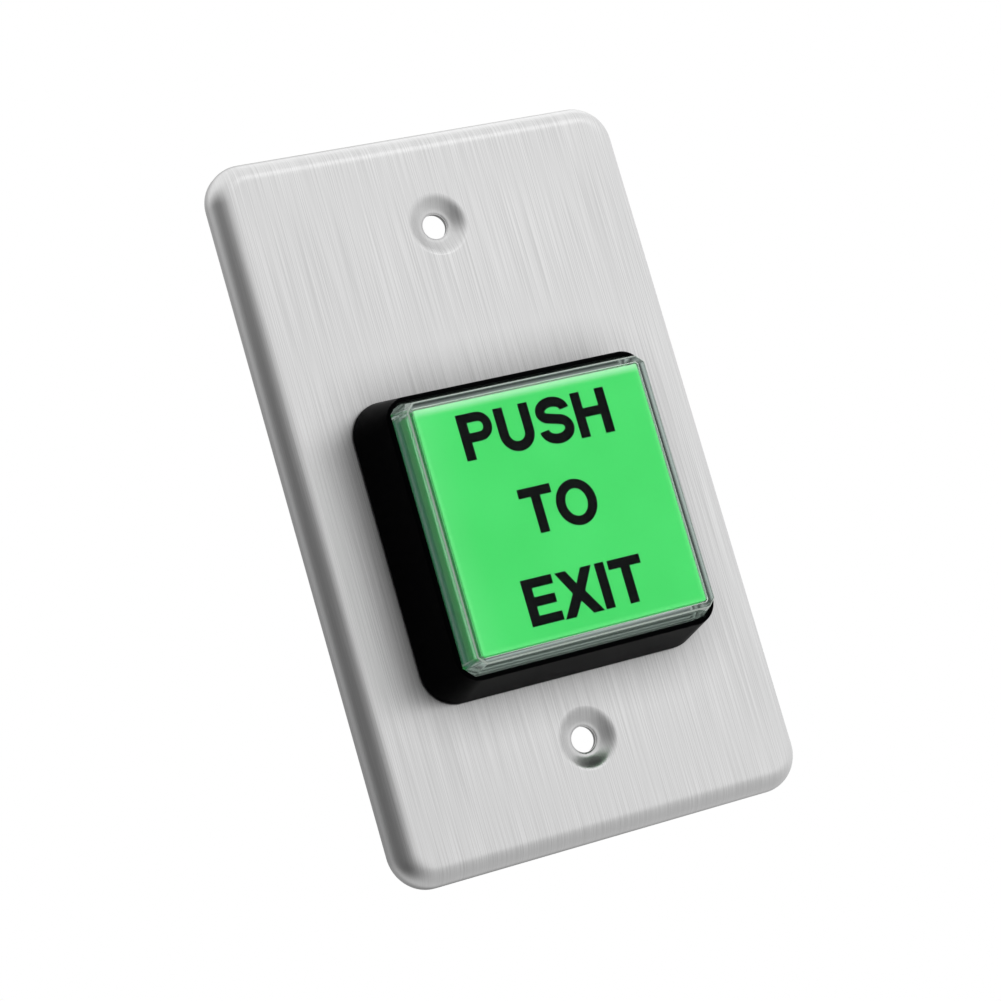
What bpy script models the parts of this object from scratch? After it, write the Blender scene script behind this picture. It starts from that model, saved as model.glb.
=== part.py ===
"""Illuminated door exit button on a single-gang wall plate.

Metres, +Z up along the plate, +X to the right as seen from the room, and the front faces -Y.
The origin is the plate's centre between its two screws, on the wall plane. Depths below are
values of y, which grow from the room into the wall.
"""
import math

import bmesh
import bpy
from mathutils import Matrix, Vector

# Wall plate, a formed steel sheet
PLATE_WIDTH = 0.06985
PLATE_DEPTH = 0.0046
PLATE_SHEET = 0.0009
PLATE_CORNER = 0.0062
PLATE_EDGE = 0.0035
SCREW_SPACING = 0.08334
SCREW_MARGIN = 0.01548
SCREW_HOLE = 0.0040
SCREW_LAND = 0.0006
DIMPLE_WIDTH = 0.0104
DIMPLE_DEPTH = 0.0015
BUTTON_DROP = 0.0080

# Square bezel and its barrel
BEZEL_RIM = 0.00075
BEZEL_LEAN = 0.0018
BEZEL_HEIGHT = 0.0109
BEZEL_CORNER = 0.0055
BEZEL_LIP = 0.0005
BEZEL_FLOOR = 0.0020
BARREL_WIDTH = 0.0236
BARREL_WALL = 0.0020
BARREL_REACH = 0.0170
PLUG_LENGTH = 0.0060
SPRING_SEAT_WALL = 0.0012
SPRING_SEAT_RIM = 0.0017

# Clear cap, legend and diffuser
CAP_WIDTH = 0.0418
CAP_LEAN = 0.0008
CAP_CORNER = 0.0016
CAP_CORNER_FRONT = 0.0010
CAP_INSIDE_CORNER = 0.0004
CAP_SOFT = 0.0004
CAP_PROUD = 0.0039
CAP_FACE = 0.0007
CAP_WALL = 0.0017
CAP_ROUND = 0.0004
CAP_SKIRT = 0.0085
LEGEND_GAP = 0.0001
LEGEND_SHEET = 0.0008
LEGEND_CORNER = 0.0003
DIFFUSER_SHEET = 0.0015

# Plunger
TRAVEL = 0.0025
TRAY_WALL = 0.0014
TRAY_FLOOR = 0.0012
STEM_WALL = 0.0020
STEM_END = 0.0010
LATCH_LENGTH = 0.0020
LATCH_WIDTH = 0.0034
LATCH_REACH = 0.0011
LEG_INSET = 0.0008
LEG_ANGLE = math.radians(-60)
LEG_THICK = 0.0014
LEG_WIDTH = 0.0040
LEG_ROOT = 0.0090
LEG_FOOT = 0.0008
LEAD_IN = 0.0006

# Return spring
WIRE = 0.0008
SPRING_TURNS = 5
END_TURN_PITCH = 0.00095

# Nut and washer behind the plate
WASHER_SHEET = 0.0008
WASHER_RIM = 0.0034
NUT_WALL = 0.00465
NUT_HEIGHT = 0.0070
NUT_LOBES = 12
NUT_LOBE_DEPTH = 0.0007
NUT_CHAMFER = 0.0008

# Lamp holder and lamp
HOLDER_WALL = 0.0013
HOLDER_RIM = 0.0007
HOLDER_FLOOR = 0.0015
SOCKET_WALL = 0.0008
BAYONET_WIDTH = 0.0030
BAYONET_LENGTH = 0.0018
BAYONET_REACH = 0.0010
BAYONET_INSET = 0.0019
BAYONET_TURN = math.radians(26)
LAMP_WIDTH = 0.0096
LAMP_LENGTH = 0.0140
LAMP_COLLAR = 0.0030
LAMP_CHAMFER = 0.0005
WEDGE_WIDTH = 0.0090
WEDGE_THICK = 0.0022
WEDGE_LENGTH = 0.0055
LAMP_TAB_WIDTH = 0.0030
LAMP_TAB_THICK = 0.0005
LAMP_TAB_OFFSET = 0.0024
LAMP_TAB_REACH = 0.0075
LAMP_TAB_HOLE_INSET = 0.0025
LAMP_TAB_TIP = 0.0006
SIDE_PLATE = 0.0014
SIDE_PLATE_INSET = 0.0015
SIDE_PLATE_MARGIN = 0.0010
SIDE_PLATE_CUT = 0.0020

# Snap-action switch
SWITCH_LENGTH = 0.0278
SWITCH_THICK = 0.0103
SWITCH_WALL = 0.0013
SWITCH_COVER = 0.0014
SWITCH_EDGE = 0.0004
HOLE_INSET = 0.0028
MOUNT_HOLE = 0.0031
BOSS_WALL = 0.0011
BOSS_CLEAR = 0.0004
HINGE_INSET = 0.0019
LEVER_ARM = 0.0200
LEVER_TO_PIN = 0.0063
LEVER_TIP = 0.0025
LEVER_WIDTH = 0.0042
LEVER_SHEET = 0.0005
LEVER_REST = 0.14
LEVER_HEIGHT = 0.0015
LEVER_CURL = 0.0012
LEVER_CLEAR = 0.0004
LEVER_END_CUT = 0.0003
HINGE_PIN = 0.0012
EAR_WALL = 0.0009
BUTTON_WIDTH = 0.0032
BUTTON_COLLAR = 0.0048
COLLAR_THICK = 0.0010
BUTTON_DOME = 0.0007
BUTTON_FOOT = 0.0016
PRETRAVEL = 0.0006
BLADE_SHEET = 0.00025
BLADE_WIDTH = 0.0044
BLADE_OVERHANG = 0.0011
SLIT_WIDTH = 0.0005
TAB_SHEET = 0.0008
TAB_WIDTH = 0.00475
TAB_REACH = 0.0064
TAB_HOLE = 0.0016
TAB_HOLE_INSET = 0.0028
TAB_TIP = 0.0010
CONTACT_WIDTH = 0.0026
CONTACT_THICK = 0.0006
CONTACT_INSET = 0.0074
CONTACT_CHAMFER = 0.00025
CONTACT_STROKE = 0.0012
MOVING_HEAD = 0.00045
MOVING_SHANK = 0.0013
ANCHOR_INSET = 0.0030
ANCHOR_PAD = 0.0013
RIVET_WIDTH = 0.0010
RIVET_HEAD = 0.0016
RIVET_HEAD_THICK = 0.0004

# Clearances between seated pieces, round sliding pieces and at small pins, and how far a cutter overruns
SEAT = 0.0003
SLIDE = 0.0003
PIN_GAP = 0.0001
OVERCUT = 0.0010

# Half widths and radii that follow from the sizes above
cap_inside_half = CAP_WIDTH / 2 - CAP_WALL
bezel_half = CAP_WIDTH / 2 + SLIDE + BEZEL_RIM + BEZEL_LEAN
barrel_radius = BARREL_WIDTH / 2
barrel_bore = barrel_radius - BARREL_WALL
seat_bore = barrel_bore - SPRING_SEAT_RIM
stem_radius = barrel_bore - SLIDE
stem_bore = stem_radius - STEM_WALL
leg_radius = stem_bore - LEG_INSET
holder_radius = barrel_radius + HOLDER_RIM
socket_radius = LAMP_WIDTH / 2 + SOCKET_WALL

# Depths that follow from them
bezel_back = -PLATE_DEPTH - SEAT
bezel_front = bezel_back - BEZEL_HEIGHT
bezel_floor = bezel_back - BEZEL_FLOOR
cap_front = bezel_front - CAP_PROUD
cap_back = cap_front + CAP_SKIRT
legend_front = cap_front + CAP_FACE + LEGEND_GAP
legend_back = legend_front + LEGEND_SHEET
diffuser_front = legend_back + SEAT
diffuser_back = diffuser_front + DIFFUSER_SHEET
tray_front = diffuser_back + SEAT
holder_back = BARREL_REACH + SEAT + HOLDER_FLOOR
spring_seat = BARREL_REACH - PLUG_LENGTH - SPRING_SEAT_WALL
plug_front = BARREL_REACH - PLUG_LENGTH + SEAT
lug_front = plug_front + BAYONET_INSET
lever_rise = (LEVER_ARM + LEVER_TIP) * math.tan(LEVER_REST)
switch_top = holder_back + LEVER_CLEAR + LEVER_SHEET + lever_rise + LEVER_HEIGHT
boss_depth = HOLE_INSET + MOUNT_HOLE / 2 + BOSS_WALL
blade_y = switch_top + boss_depth + SEAT + RIVET_HEAD_THICK + PIN_GAP + BLADE_SHEET / 2
pad_top = blade_y + BLADE_SHEET / 2 + SEAT
contact_reach = BLADE_SHEET / 2 + PIN_GAP + MOVING_HEAD + SEAT + CONTACT_THICK + PIN_GAP
closed_level = blade_y - contact_reach - TAB_SHEET
open_level = blade_y + contact_reach + CONTACT_STROKE
switch_back = open_level + TAB_SHEET + BOSS_CLEAR + boss_depth
plate_inside = -PLATE_DEPTH + PLATE_SHEET
plate_height = SCREW_SPACING + 2 * SCREW_MARGIN

leg_x = leg_radius * math.cos(LEG_ANGLE)
leg_z = leg_radius * math.sin(LEG_ANGLE)
hinge_x = leg_x - LEVER_ARM
hinge_y = switch_top - LEVER_HEIGHT
switch_x = hinge_x + SWITCH_LENGTH / 2 - HINGE_INSET
switch_z = leg_z
button_x = hinge_x + LEVER_TO_PIN
button_top = hinge_y - LEVER_TO_PIN * math.tan(LEVER_REST) + LEVER_SHEET / 2 + SEAT
leg_end = hinge_y - LEVER_ARM * math.tan(LEVER_REST) - LEVER_SHEET / 2 - SEAT
anchor_x = switch_x - SWITCH_LENGTH / 2 + ANCHOR_INSET
contact_x = switch_x + SWITCH_LENGTH / 2 - CONTACT_INSET

axis_place = Vector((0.0, 0.0, -BUTTON_DROP))


def clear_scene():
    for old in list(bpy.data.objects):
        bpy.data.objects.remove(old, do_unlink=True)


def material(name, colour, roughness, metallic=0.0, clear=0.0):
    made = bpy.data.materials.new(name)
    made.use_nodes = True
    shader = made.node_tree.nodes["Principled BSDF"]
    shader.inputs["Base Color"].default_value = (*colour, 1.0)
    shader.inputs["Roughness"].default_value = roughness
    shader.inputs["Metallic"].default_value = metallic
    shader.inputs["Transmission Weight"].default_value = clear
    return made


def add_object(name, bm, look, place=axis_place):
    bmesh.ops.recalc_face_normals(bm, faces=bm.faces)
    mesh = bpy.data.meshes.new(name)
    bm.to_mesh(mesh)
    bm.free()
    if look:
        mesh.materials.append(look)
    mesh.shade_smooth()
    mesh.set_sharp_from_angle(angle=math.radians(35))
    made = bpy.data.objects.new(name, mesh)
    made.location = place
    bpy.context.scene.collection.objects.link(made)
    return made


def circle(radius, y, steps, x=0.0, z=0.0):
    turn = 2 * math.pi / steps
    return [Vector((x + radius * math.cos(i * turn), y, z + radius * math.sin(i * turn)))
            for i in range(steps)]


def rounded(half_x, half_z, corner, y, steps):
    """A rectangle's outline with round corners, or with chamfers where steps is 1."""
    points = []
    for quarter in range(4):
        side_x = 1 if quarter in (0, 3) else -1
        side_z = 1 if quarter in (0, 1) else -1
        middle = Vector((side_x * (half_x - corner), y, side_z * (half_z - corner)))
        for i in range(steps + 1):
            angle = (quarter + i / steps) * math.pi / 2
            points.append(middle + corner * Vector((math.cos(angle), 0.0, math.sin(angle))))
    return points


def softened(corners, radius, steps=2):
    """A closed outline with each corner eased by a short curve between its two sides."""
    points = []
    for i, corner in enumerate(corners):
        before = corners[i - 1] - corner
        after = corners[(i + 1) % len(corners)] - corner
        reach = radius / math.tan(before.angle(after) / 2)
        start = corner + before.normalized() * reach
        end = corner + after.normalized() * reach
        for k in range(steps + 1):
            share = k / steps
            points.append(start.lerp(corner, share).lerp(corner.lerp(end, share), share))
    return points


def skin_rings(bm, rings, joined=False):
    """Quads between rings of equal length. Ends are capped, or the last ring meets the first."""
    loops = [[bm.verts.new(point) for point in ring] for ring in rings]
    pairs = list(zip(loops, loops[1:]))
    if joined:
        pairs.append((loops[-1], loops[0]))
    for lower, upper in pairs:
        for i in range(len(lower)):
            j = (i + 1) % len(lower)
            bm.faces.new((lower[i], lower[j], upper[j], upper[i]))
    if not joined:
        bm.faces.new(loops[0])
        bm.faces.new(loops[-1])
    return loops


def ringed(name, rings, look, joined=False, place=axis_place):
    bm = bmesh.new()
    skin_rings(bm, rings, joined)
    return add_object(name, bm, look, place)


def turned(name, profile, look, steps=48, joined=False, place=axis_place):
    """A profile of (radius, y) turned round the y axis through the object's place."""
    return ringed(name, [circle(radius, y, steps) for radius, y in profile], look, joined, place)


def block(name, low, high, look=None, place=axis_place):
    bm = bmesh.new()
    bmesh.ops.create_cube(bm, size=1.0)
    size = [b - a for a, b in zip(low, high)]
    middle = [(a + b) / 2 for a, b in zip(low, high)]
    bmesh.ops.scale(bm, vec=size, verts=bm.verts)
    bmesh.ops.translate(bm, vec=middle, verts=bm.verts)
    return add_object(name, bm, look, place)


def extruded(name, outline, low_z, high_z, look=None, place=axis_place):
    """An outline of (x, y) points given thickness along z."""
    return ringed(name, [[Vector((x, y, z)) for x, y in outline] for z in (low_z, high_z)], look, place=place)


def rod(name, x, y, radius, low_z, high_z, look=None, steps=20, place=axis_place):
    """A round bar along z, for pins and the holes that they sit in."""
    turn = 2 * math.pi / steps
    outline = [(x + radius * math.cos(i * turn), y + radius * math.sin(i * turn)) for i in range(steps)]
    return extruded(name, outline, low_z, high_z, look, place)


def panel(left, right, top, bottom, corner):
    """Outline points (x, y) of a flat panel with rounded corners, for extruding along z."""
    ring = rounded((right - left) / 2, (bottom - top) / 2, corner, 0.0, 2)
    return [((left + right) / 2 + point.x, (top + bottom) / 2 + point.z) for point in ring]


def shifted(obj, x, y, z):
    """Moves an object's mesh within the object."""
    obj.data.transform(Matrix.Translation((x, y, z)))
    return obj


def spun(obj, angle):
    """Turns an object's mesh about the button's axis."""
    obj.data.transform(Matrix.Rotation(-angle, 4, "Y"))
    return obj


def combine(body, operation, *tools):
    for tool in tools:
        step = body.modifiers.new(tool.name, "BOOLEAN")
        step.operation = operation
        step.solver = "EXACT"
        step.object = tool
        tool.hide_render = True
        tool.display_type = "WIRE"
    return body


def plate_edge_rings():
    """The plate's outer skin from the wall, up the skirt and round the front edge."""
    steps = 6
    rings = [rounded(PLATE_WIDTH / 2, plate_height / 2, PLATE_CORNER, 0.0, 7)]
    for i in range(steps + 1):
        angle = i / steps * math.pi / 2
        inset = PLATE_EDGE * (1 - math.cos(angle))
        depth = -PLATE_DEPTH + PLATE_EDGE * (1 - math.sin(angle))
        rings.append(rounded(PLATE_WIDTH / 2 - inset, plate_height / 2 - inset,
                             PLATE_CORNER - inset, depth, 7))
    return rings


def dimple_rings(z):
    """A screw's countersunk dimple from the flat face down to the hole."""
    steps = 5
    hole = SCREW_HOLE / 2
    seat = hole + SCREW_LAND
    rings = []
    for i in range(steps + 1):
        share = i / steps
        sink = DIMPLE_DEPTH * (1 - math.cos(share * math.pi)) / 2
        radius = DIMPLE_WIDTH / 2 + (seat - DIMPLE_WIDTH / 2) * share
        rings.append(circle(radius, -PLATE_DEPTH + sink, 24, z=z))
    rings.append(circle(hole, -PLATE_DEPTH + DIMPLE_DEPTH, 24, z=z))
    return rings


def make_face_plate(look):
    bm = bmesh.new()
    borders = []
    groups = [plate_edge_rings(), dimple_rings(SCREW_SPACING / 2), dimple_rings(-SCREW_SPACING / 2)]
    for number, rings in enumerate(groups):
        loops = [[bm.verts.new(point) for point in ring] for ring in rings]
        for lower, upper in zip(loops, loops[1:]):
            for i in range(len(lower)):
                j = (i + 1) % len(lower)
                bm.faces.new((lower[i], lower[j], upper[j], upper[i]))
        borders.append(loops[-1] if number == 0 else loops[0])
    opening = circle(barrel_radius + SEAT, -PLATE_DEPTH, 48, z=-BUTTON_DROP)
    borders.append([bm.verts.new(point) for point in opening])
    edges = []
    for border in borders:
        for i, vert in enumerate(border):
            partner = border[(i + 1) % len(border)]
            edges.append(bm.edges.get((vert, partner)) or bm.edges.new((vert, partner)))
    bmesh.ops.triangle_fill(bm, use_beauty=True, edges=edges)
    bmesh.ops.recalc_face_normals(bm, faces=bm.faces)
    face = min(bm.faces, key=lambda item: item.calc_center_median().y)
    if face.normal.y > 0:
        bmesh.ops.reverse_faces(bm, faces=bm.faces)
    mesh = bpy.data.meshes.new("face_plate")
    bm.to_mesh(mesh)
    bm.free()
    mesh.materials.append(look)
    mesh.shade_smooth()
    mesh.set_sharp_from_angle(angle=math.radians(35))
    plate = bpy.data.objects.new("face_plate", mesh)
    bpy.context.scene.collection.objects.link(plate)
    sheet = plate.modifiers.new("sheet", "SOLIDIFY")
    sheet.thickness = PLATE_SHEET
    sheet.offset = -1.0
    sheet.use_even_offset = True
    return plate


def bezel_outline(inset, y):
    return rounded(bezel_half - inset, bezel_half - inset, BEZEL_CORNER - inset, y, 7)


def cap_outline(inset, y, extra=0.0):
    """The cap's chamfered square, larger by extra where the bezel's opening clears it."""
    half = CAP_WIDTH / 2 - inset + extra
    share = inset / (CAP_LEAN + CAP_ROUND)
    corner = CAP_CORNER + (CAP_CORNER_FRONT - CAP_CORNER) * share
    return softened(rounded(half, half, corner, y, 1), CAP_SOFT)


def make_bezel_housing(look):
    rings = [bezel_outline(0.0, bezel_back)]
    steps = 3
    for i in range(steps + 1):
        angle = i / steps * math.pi / 2
        inset = BEZEL_LEAN + BEZEL_LIP * (1 - math.cos(angle))
        rings.append(bezel_outline(inset, bezel_front + BEZEL_LIP * (1 - math.sin(angle))))
    housing = ringed("bezel_housing", rings, look)
    barrel = barrel_radius
    bore = barrel_bore
    combine(housing, "UNION", turned("tool_barrel", [
        (barrel, bezel_back - BEZEL_FLOOR / 2), (barrel, BARREL_REACH - LEAD_IN),
        (barrel - LEAD_IN, BARREL_REACH)], None))
    cavity = ringed("tool_cavity", [cap_outline(0.0, bezel_front - OVERCUT, SLIDE),
                                    cap_outline(0.0, bezel_floor, SLIDE)], None)
    front_bore = turned("tool_front_bore", [(bore, bezel_floor - OVERCUT), (bore, spring_seat)], None)
    ring_bore = turned("tool_ring_bore", [
        (seat_bore, spring_seat - OVERCUT), (seat_bore, BARREL_REACH - OVERCUT)], None)
    rear_bore = turned("tool_rear_bore", [
        (bore, spring_seat + SPRING_SEAT_WALL), (bore, BARREL_REACH + OVERCUT)], None)
    combine(housing, "DIFFERENCE", cavity, front_bore, ring_bore, rear_bore)
    front = STEM_END - LATCH_LENGTH - SLIDE
    back = STEM_END + TRAVEL + SLIDE
    half = LATCH_WIDTH / 2 + SLIDE
    windows = block("tool_windows", (-barrel - OVERCUT, front, -half), (barrel + OVERCUT, back, half))
    combine(housing, "DIFFERENCE", windows)
    for number in range(2):
        base = math.pi / 2 + number * math.pi
        half = BAYONET_WIDTH / 2 + SLIDE
        deep = lug_front - SLIDE
        entry = block("tool_entry_%d" % number, (bore - OVERCUT, deep, -half),
                      (barrel + OVERCUT, BARREL_REACH + OVERCUT, half))
        lock = block("tool_lock_%d" % number, (bore - OVERCUT, deep, -half),
                     (barrel + OVERCUT, lug_front + BAYONET_LENGTH + SLIDE,
                      half + bore * math.tan(BAYONET_TURN)))
        combine(housing, "DIFFERENCE", spun(entry, base + BAYONET_TURN), spun(lock, base))
    return housing


def cap_inside(y):
    half = cap_inside_half
    return softened(rounded(half, half, CAP_INSIDE_CORNER, y, 1), CAP_INSIDE_CORNER / 2)


def make_lens_cap(look):
    rings = [cap_inside(cap_front + CAP_FACE), cap_inside(cap_back),
             cap_outline(0.0, cap_back), cap_outline(0.0, bezel_front)]
    steps = 3
    for i in range(steps + 1):
        angle = i / steps * math.pi / 2
        inset = CAP_LEAN + CAP_ROUND * (1 - math.cos(angle))
        rings.append(cap_outline(inset, cap_front + CAP_ROUND * (1 - math.sin(angle))))
    return ringed("lens_cap", rings, look)


def insert_outline(y, inset=0.0):
    half = cap_inside_half - SEAT - inset
    return rounded(half, half, LEGEND_CORNER, y, 1)


def make_insert(name, front, back, look):
    return ringed(name, [insert_outline(front), insert_outline(back)], look)


def make_plunger(look):
    tray = ringed("plunger", [
        insert_outline(cap_back - TRAY_FLOOR, TRAY_WALL), insert_outline(tray_front, TRAY_WALL),
        insert_outline(tray_front), insert_outline(cap_back)], look)
    outer = stem_radius
    stem = turned("tool_stem", [
        (outer, cap_back - TRAY_FLOOR / 2), (outer, STEM_END - LEAD_IN), (outer - LEAD_IN, STEM_END)], None)
    bore = turned("tool_stem_bore", [
        (stem_bore, cap_back - 2 * TRAY_FLOOR), (stem_bore, STEM_END + OVERCUT)], None)
    latches = extruded("tool_latches", [
        (-outer - LATCH_REACH, STEM_END - LATCH_LENGTH), (outer + LATCH_REACH, STEM_END - LATCH_LENGTH),
        (outer + LATCH_REACH, STEM_END - LATCH_LENGTH / 2), (outer - LEAD_IN, STEM_END),
        (-outer + LEAD_IN, STEM_END), (-outer - LATCH_REACH, STEM_END - LATCH_LENGTH / 2),
    ], -LATCH_WIDTH / 2, LATCH_WIDTH / 2)
    combine(tray, "UNION", stem, latches)
    combine(tray, "DIFFERENCE", bore)
    inner = leg_radius - LEG_THICK / 2
    root = STEM_END - LEG_ROOT
    shaft = extruded("tool_leg", [
        (inner, root), (inner + LEG_THICK, root), (inner + LEG_THICK, leg_end - LEG_FOOT),
        (inner + LEG_THICK * 0.75, leg_end), (inner + LEG_THICK * 0.25, leg_end), (inner, leg_end - LEG_FOOT),
    ], -LEG_WIDTH / 2, LEG_WIDTH / 2)
    web = extruded("tool_leg_web", [
        (inner, root), (stem_bore + LEAD_IN, root), (stem_bore + LEAD_IN, STEM_END - LEAD_IN),
        (inner, STEM_END - LEAD_IN)], -LEG_WIDTH / 2, LEG_WIDTH / 2)
    combine(tray, "UNION", spun(web, LEG_ANGLE), spun(shaft, LEG_ANGLE))
    return tray


def spring_depth(turn, start, length):
    """Depth along the coil: close end turns, and an even pitch between them."""
    rise = (length - 2 * END_TURN_PITCH) / (SPRING_TURNS - 2)
    if turn < 1:
        return start + END_TURN_PITCH * turn
    if turn > SPRING_TURNS - 1:
        return start + length - END_TURN_PITCH * (SPRING_TURNS - turn)
    return start + END_TURN_PITCH + rise * (turn - 1)


def make_return_spring(look):
    start = STEM_END + SEAT + WIRE / 2
    length = spring_seat - SEAT - WIRE / 2 - start
    middle = (barrel_bore + seat_bore) / 2
    per_turn, sides = 16, 6
    rings = []
    for i in range(SPRING_TURNS * per_turn + 1):
        turn = i / per_turn
        angle = turn * 2 * math.pi
        out = Vector((math.cos(angle), 0.0, math.sin(angle)))
        centre = middle * out + Vector((0.0, spring_depth(turn, start, length), 0.0))
        ring = []
        for k in range(sides):
            bend = 2 * math.pi * k / sides
            ring.append(centre + WIRE / 2 * (math.cos(bend) * out + Vector((0.0, math.sin(bend), 0.0))))
        rings.append(ring)
    return ringed("return_spring", rings, look)


def make_washer(look):
    front = plate_inside + SEAT
    inner = barrel_radius + SEAT
    outer = inner + WASHER_RIM
    return turned("nut_washer", [
        (inner, front), (outer, front), (outer, front + WASHER_SHEET),
        (inner, front + WASHER_SHEET)], look, 36, joined=True)


def make_barrel_nut(look):
    front = plate_inside + 2 * SEAT + WASHER_SHEET
    bore = barrel_radius + SEAT
    steps = NUT_LOBES * 6

    def lobed(y, inset):
        ring = []
        for i in range(steps):
            angle = 2 * math.pi * i / steps
            groove = max(0.0, math.cos(NUT_LOBES * angle)) ** 2
            radius = bore + NUT_WALL - inset - NUT_LOBE_DEPTH * groove
            ring.append(Vector((radius * math.cos(angle), y, radius * math.sin(angle))))
        return ring

    back = front + NUT_HEIGHT
    rings = [circle(bore, front, steps), lobed(front, 0.0), lobed(back - NUT_CHAMFER, 0.0),
             lobed(back, NUT_CHAMFER), circle(bore + NUT_CHAMFER, back, steps),
             circle(bore, back - NUT_CHAMFER, steps)]
    return ringed("barrel_nut", rings, look, joined=True)


def make_lamp_holder(look):
    plug = stem_radius
    floor = BARREL_REACH + SEAT
    holder = turned("lamp_holder", [
        (socket_radius, plug_front), (socket_radius, floor), (plug - HOLDER_WALL, floor),
        (plug - HOLDER_WALL, plug_front), (plug, plug_front), (plug, floor),
        (holder_radius, floor), (holder_radius, holder_back)], look)
    low = switch_z + SWITCH_THICK / 2 + SEAT
    left = switch_x - SWITCH_LENGTH / 2
    right = switch_x + SWITCH_LENGTH / 2
    neck = holder_radius - SIDE_PLATE_INSET
    shoulder = switch_top - SIDE_PLATE_MARGIN
    end = switch_back - SIDE_PLATE_MARGIN
    cut = SIDE_PLATE_CUT
    root = holder_back - HOLDER_FLOOR / 2
    side = extruded("tool_side_plate", [
        (-neck, root), (neck, root), (neck, shoulder - cut), (right, shoulder), (right, end - cut),
        (right - cut, end), (left + cut, end), (left, end - cut), (left, shoulder), (-neck, shoulder - cut),
    ], low, low + SIDE_PLATE)
    combine(holder, "UNION", side)
    for number, (x, y) in enumerate(mount_holes()):
        radius = MOUNT_HOLE / 2 - SLIDE
        far = low - SWITCH_THICK - SEAT
        peg = turned("tool_peg_%d" % number, [
            (radius, low + SIDE_PLATE / 2), (radius, far), (radius - LEAD_IN, far - LEAD_IN)], None, steps=20)
        peg.data.transform(Matrix.Rotation(math.pi / 2, 4, "X"))
        combine(holder, "UNION", shifted(peg, x, y, 0.0))
    for number in range(2):
        lug = block("tool_lug_%d" % number, (plug - HOLDER_WALL / 2, lug_front, -BAYONET_WIDTH / 2),
                    (plug + BAYONET_REACH, lug_front + BAYONET_LENGTH, BAYONET_WIDTH / 2))
        combine(holder, "UNION", spun(lug, math.pi / 2 + number * math.pi))
    half = WEDGE_THICK / 2 + SEAT
    wedge = block("tool_wedge_slot", (-WEDGE_WIDTH / 2 - SEAT, plug_front - OVERCUT, -half),
                  (WEDGE_WIDTH / 2 + SEAT, plug_front + WEDGE_LENGTH + SEAT, half))
    combine(holder, "DIFFERENCE", wedge)
    for number, x in enumerate((-LAMP_TAB_OFFSET, LAMP_TAB_OFFSET)):
        reach = LAMP_TAB_WIDTH / 2 + PIN_GAP
        low_z = lamp_tab_z() - PIN_GAP
        slot = block("tool_tab_slot_%d" % number, (x - reach, plug_front - OVERCUT, low_z),
                     (x + reach, holder_back + OVERCUT, low_z + LAMP_TAB_THICK + 2 * PIN_GAP))
        combine(holder, "DIFFERENCE", slot)
    inner = leg_radius - LEG_THICK / 2 - SLIDE
    guide = block("tool_leg_guide", (inner, floor - OVERCUT, -LEG_WIDTH / 2 - SLIDE),
                  (inner + LEG_THICK + 2 * SLIDE, holder_back + OVERCUT, LEG_WIDTH / 2 + SLIDE))
    combine(holder, "DIFFERENCE", spun(guide, LEG_ANGLE))
    return holder


def lamp_tab_z():
    return WEDGE_THICK / 2 + SEAT


def mount_holes():
    """The switch's two mounting holes, in opposite corners of its case."""
    reach = SWITCH_LENGTH / 2 - HOLE_INSET
    return (switch_x - reach, switch_top + HOLE_INSET), (switch_x + reach, switch_back - HOLE_INSET)


def make_lamp(base_look, dome_look):
    collar_back = plug_front - SEAT
    collar_front = collar_back - LAMP_COLLAR
    radius = LAMP_WIDTH / 2
    base = turned("lamp_base", [
        (radius, collar_front), (radius, collar_back - LAMP_CHAMFER),
        (radius - LAMP_CHAMFER, collar_back)], base_look, steps=28)
    wedge = block("tool_wedge", (-WEDGE_WIDTH / 2, collar_back - LAMP_COLLAR / 2, -WEDGE_THICK / 2),
                  (WEDGE_WIDTH / 2, plug_front + WEDGE_LENGTH, WEDGE_THICK / 2))
    combine(base, "UNION", wedge)
    back = collar_front - PIN_GAP
    shoulder = back - LAMP_LENGTH + radius
    steps = 6
    profile = [(radius, back), (radius, shoulder)]
    for i in range(1, steps):
        angle = i / steps * math.pi / 2
        profile.append((radius * math.cos(angle), shoulder - radius * math.sin(angle)))
    turned("lamp_dome", profile, dome_look, steps=28)


def make_lamp_tabs(look):
    end = holder_back + LAMP_TAB_REACH
    half = LAMP_TAB_WIDTH / 2
    tip = LAMP_TAB_TIP
    front = plug_front + SEAT
    low = lamp_tab_z()
    for number, x in enumerate((-LAMP_TAB_OFFSET, LAMP_TAB_OFFSET)):
        outline = [(x - half, front), (x + half, front), (x + half, end - tip), (x + half - tip, end),
                   (x - half + tip, end), (x - half, end - tip)]
        tab = extruded("lamp_tab_%d" % number, outline, low, low + LAMP_TAB_THICK, look)
        hole = rod("tool_lamp_tab_hole_%d" % number, x, end - LAMP_TAB_HOLE_INSET, TAB_HOLE / 2,
                   low - OVERCUT, low + LAMP_TAB_THICK + OVERCUT, steps=12)
        combine(tab, "DIFFERENCE", hole)


def make_side_tab(name, top, look):
    """A quick-connect tab that leaves through the switch's end wall."""
    near = contact_x - CONTACT_WIDTH
    far = switch_x + SWITCH_LENGTH / 2 + TAB_REACH
    half = TAB_WIDTH / 2
    tip = TAB_TIP
    z = switch_z
    outline = [(near, z - half), (far - tip, z - half), (far, z - half + tip), (far, z + half - tip),
               (far - tip, z + half), (near, z + half)]
    rings = [[Vector((x, y, zz)) for x, zz in outline] for y in (top, top + TAB_SHEET)]
    tab = ringed(name, rings, look)
    hole = turned("tool_hole_" + name, [
        (TAB_HOLE / 2, top - OVERCUT), (TAB_HOLE / 2, top + TAB_SHEET + OVERCUT)], None, steps=12)
    return combine(tab, "DIFFERENCE", shifted(hole, far - TAB_HOLE_INSET, 0.0, z))


def common_tab_left():
    """The common tab's upright stands clear of the head of the rivet beside it."""
    return anchor_x + RIVET_HEAD / 2 + SEAT


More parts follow.
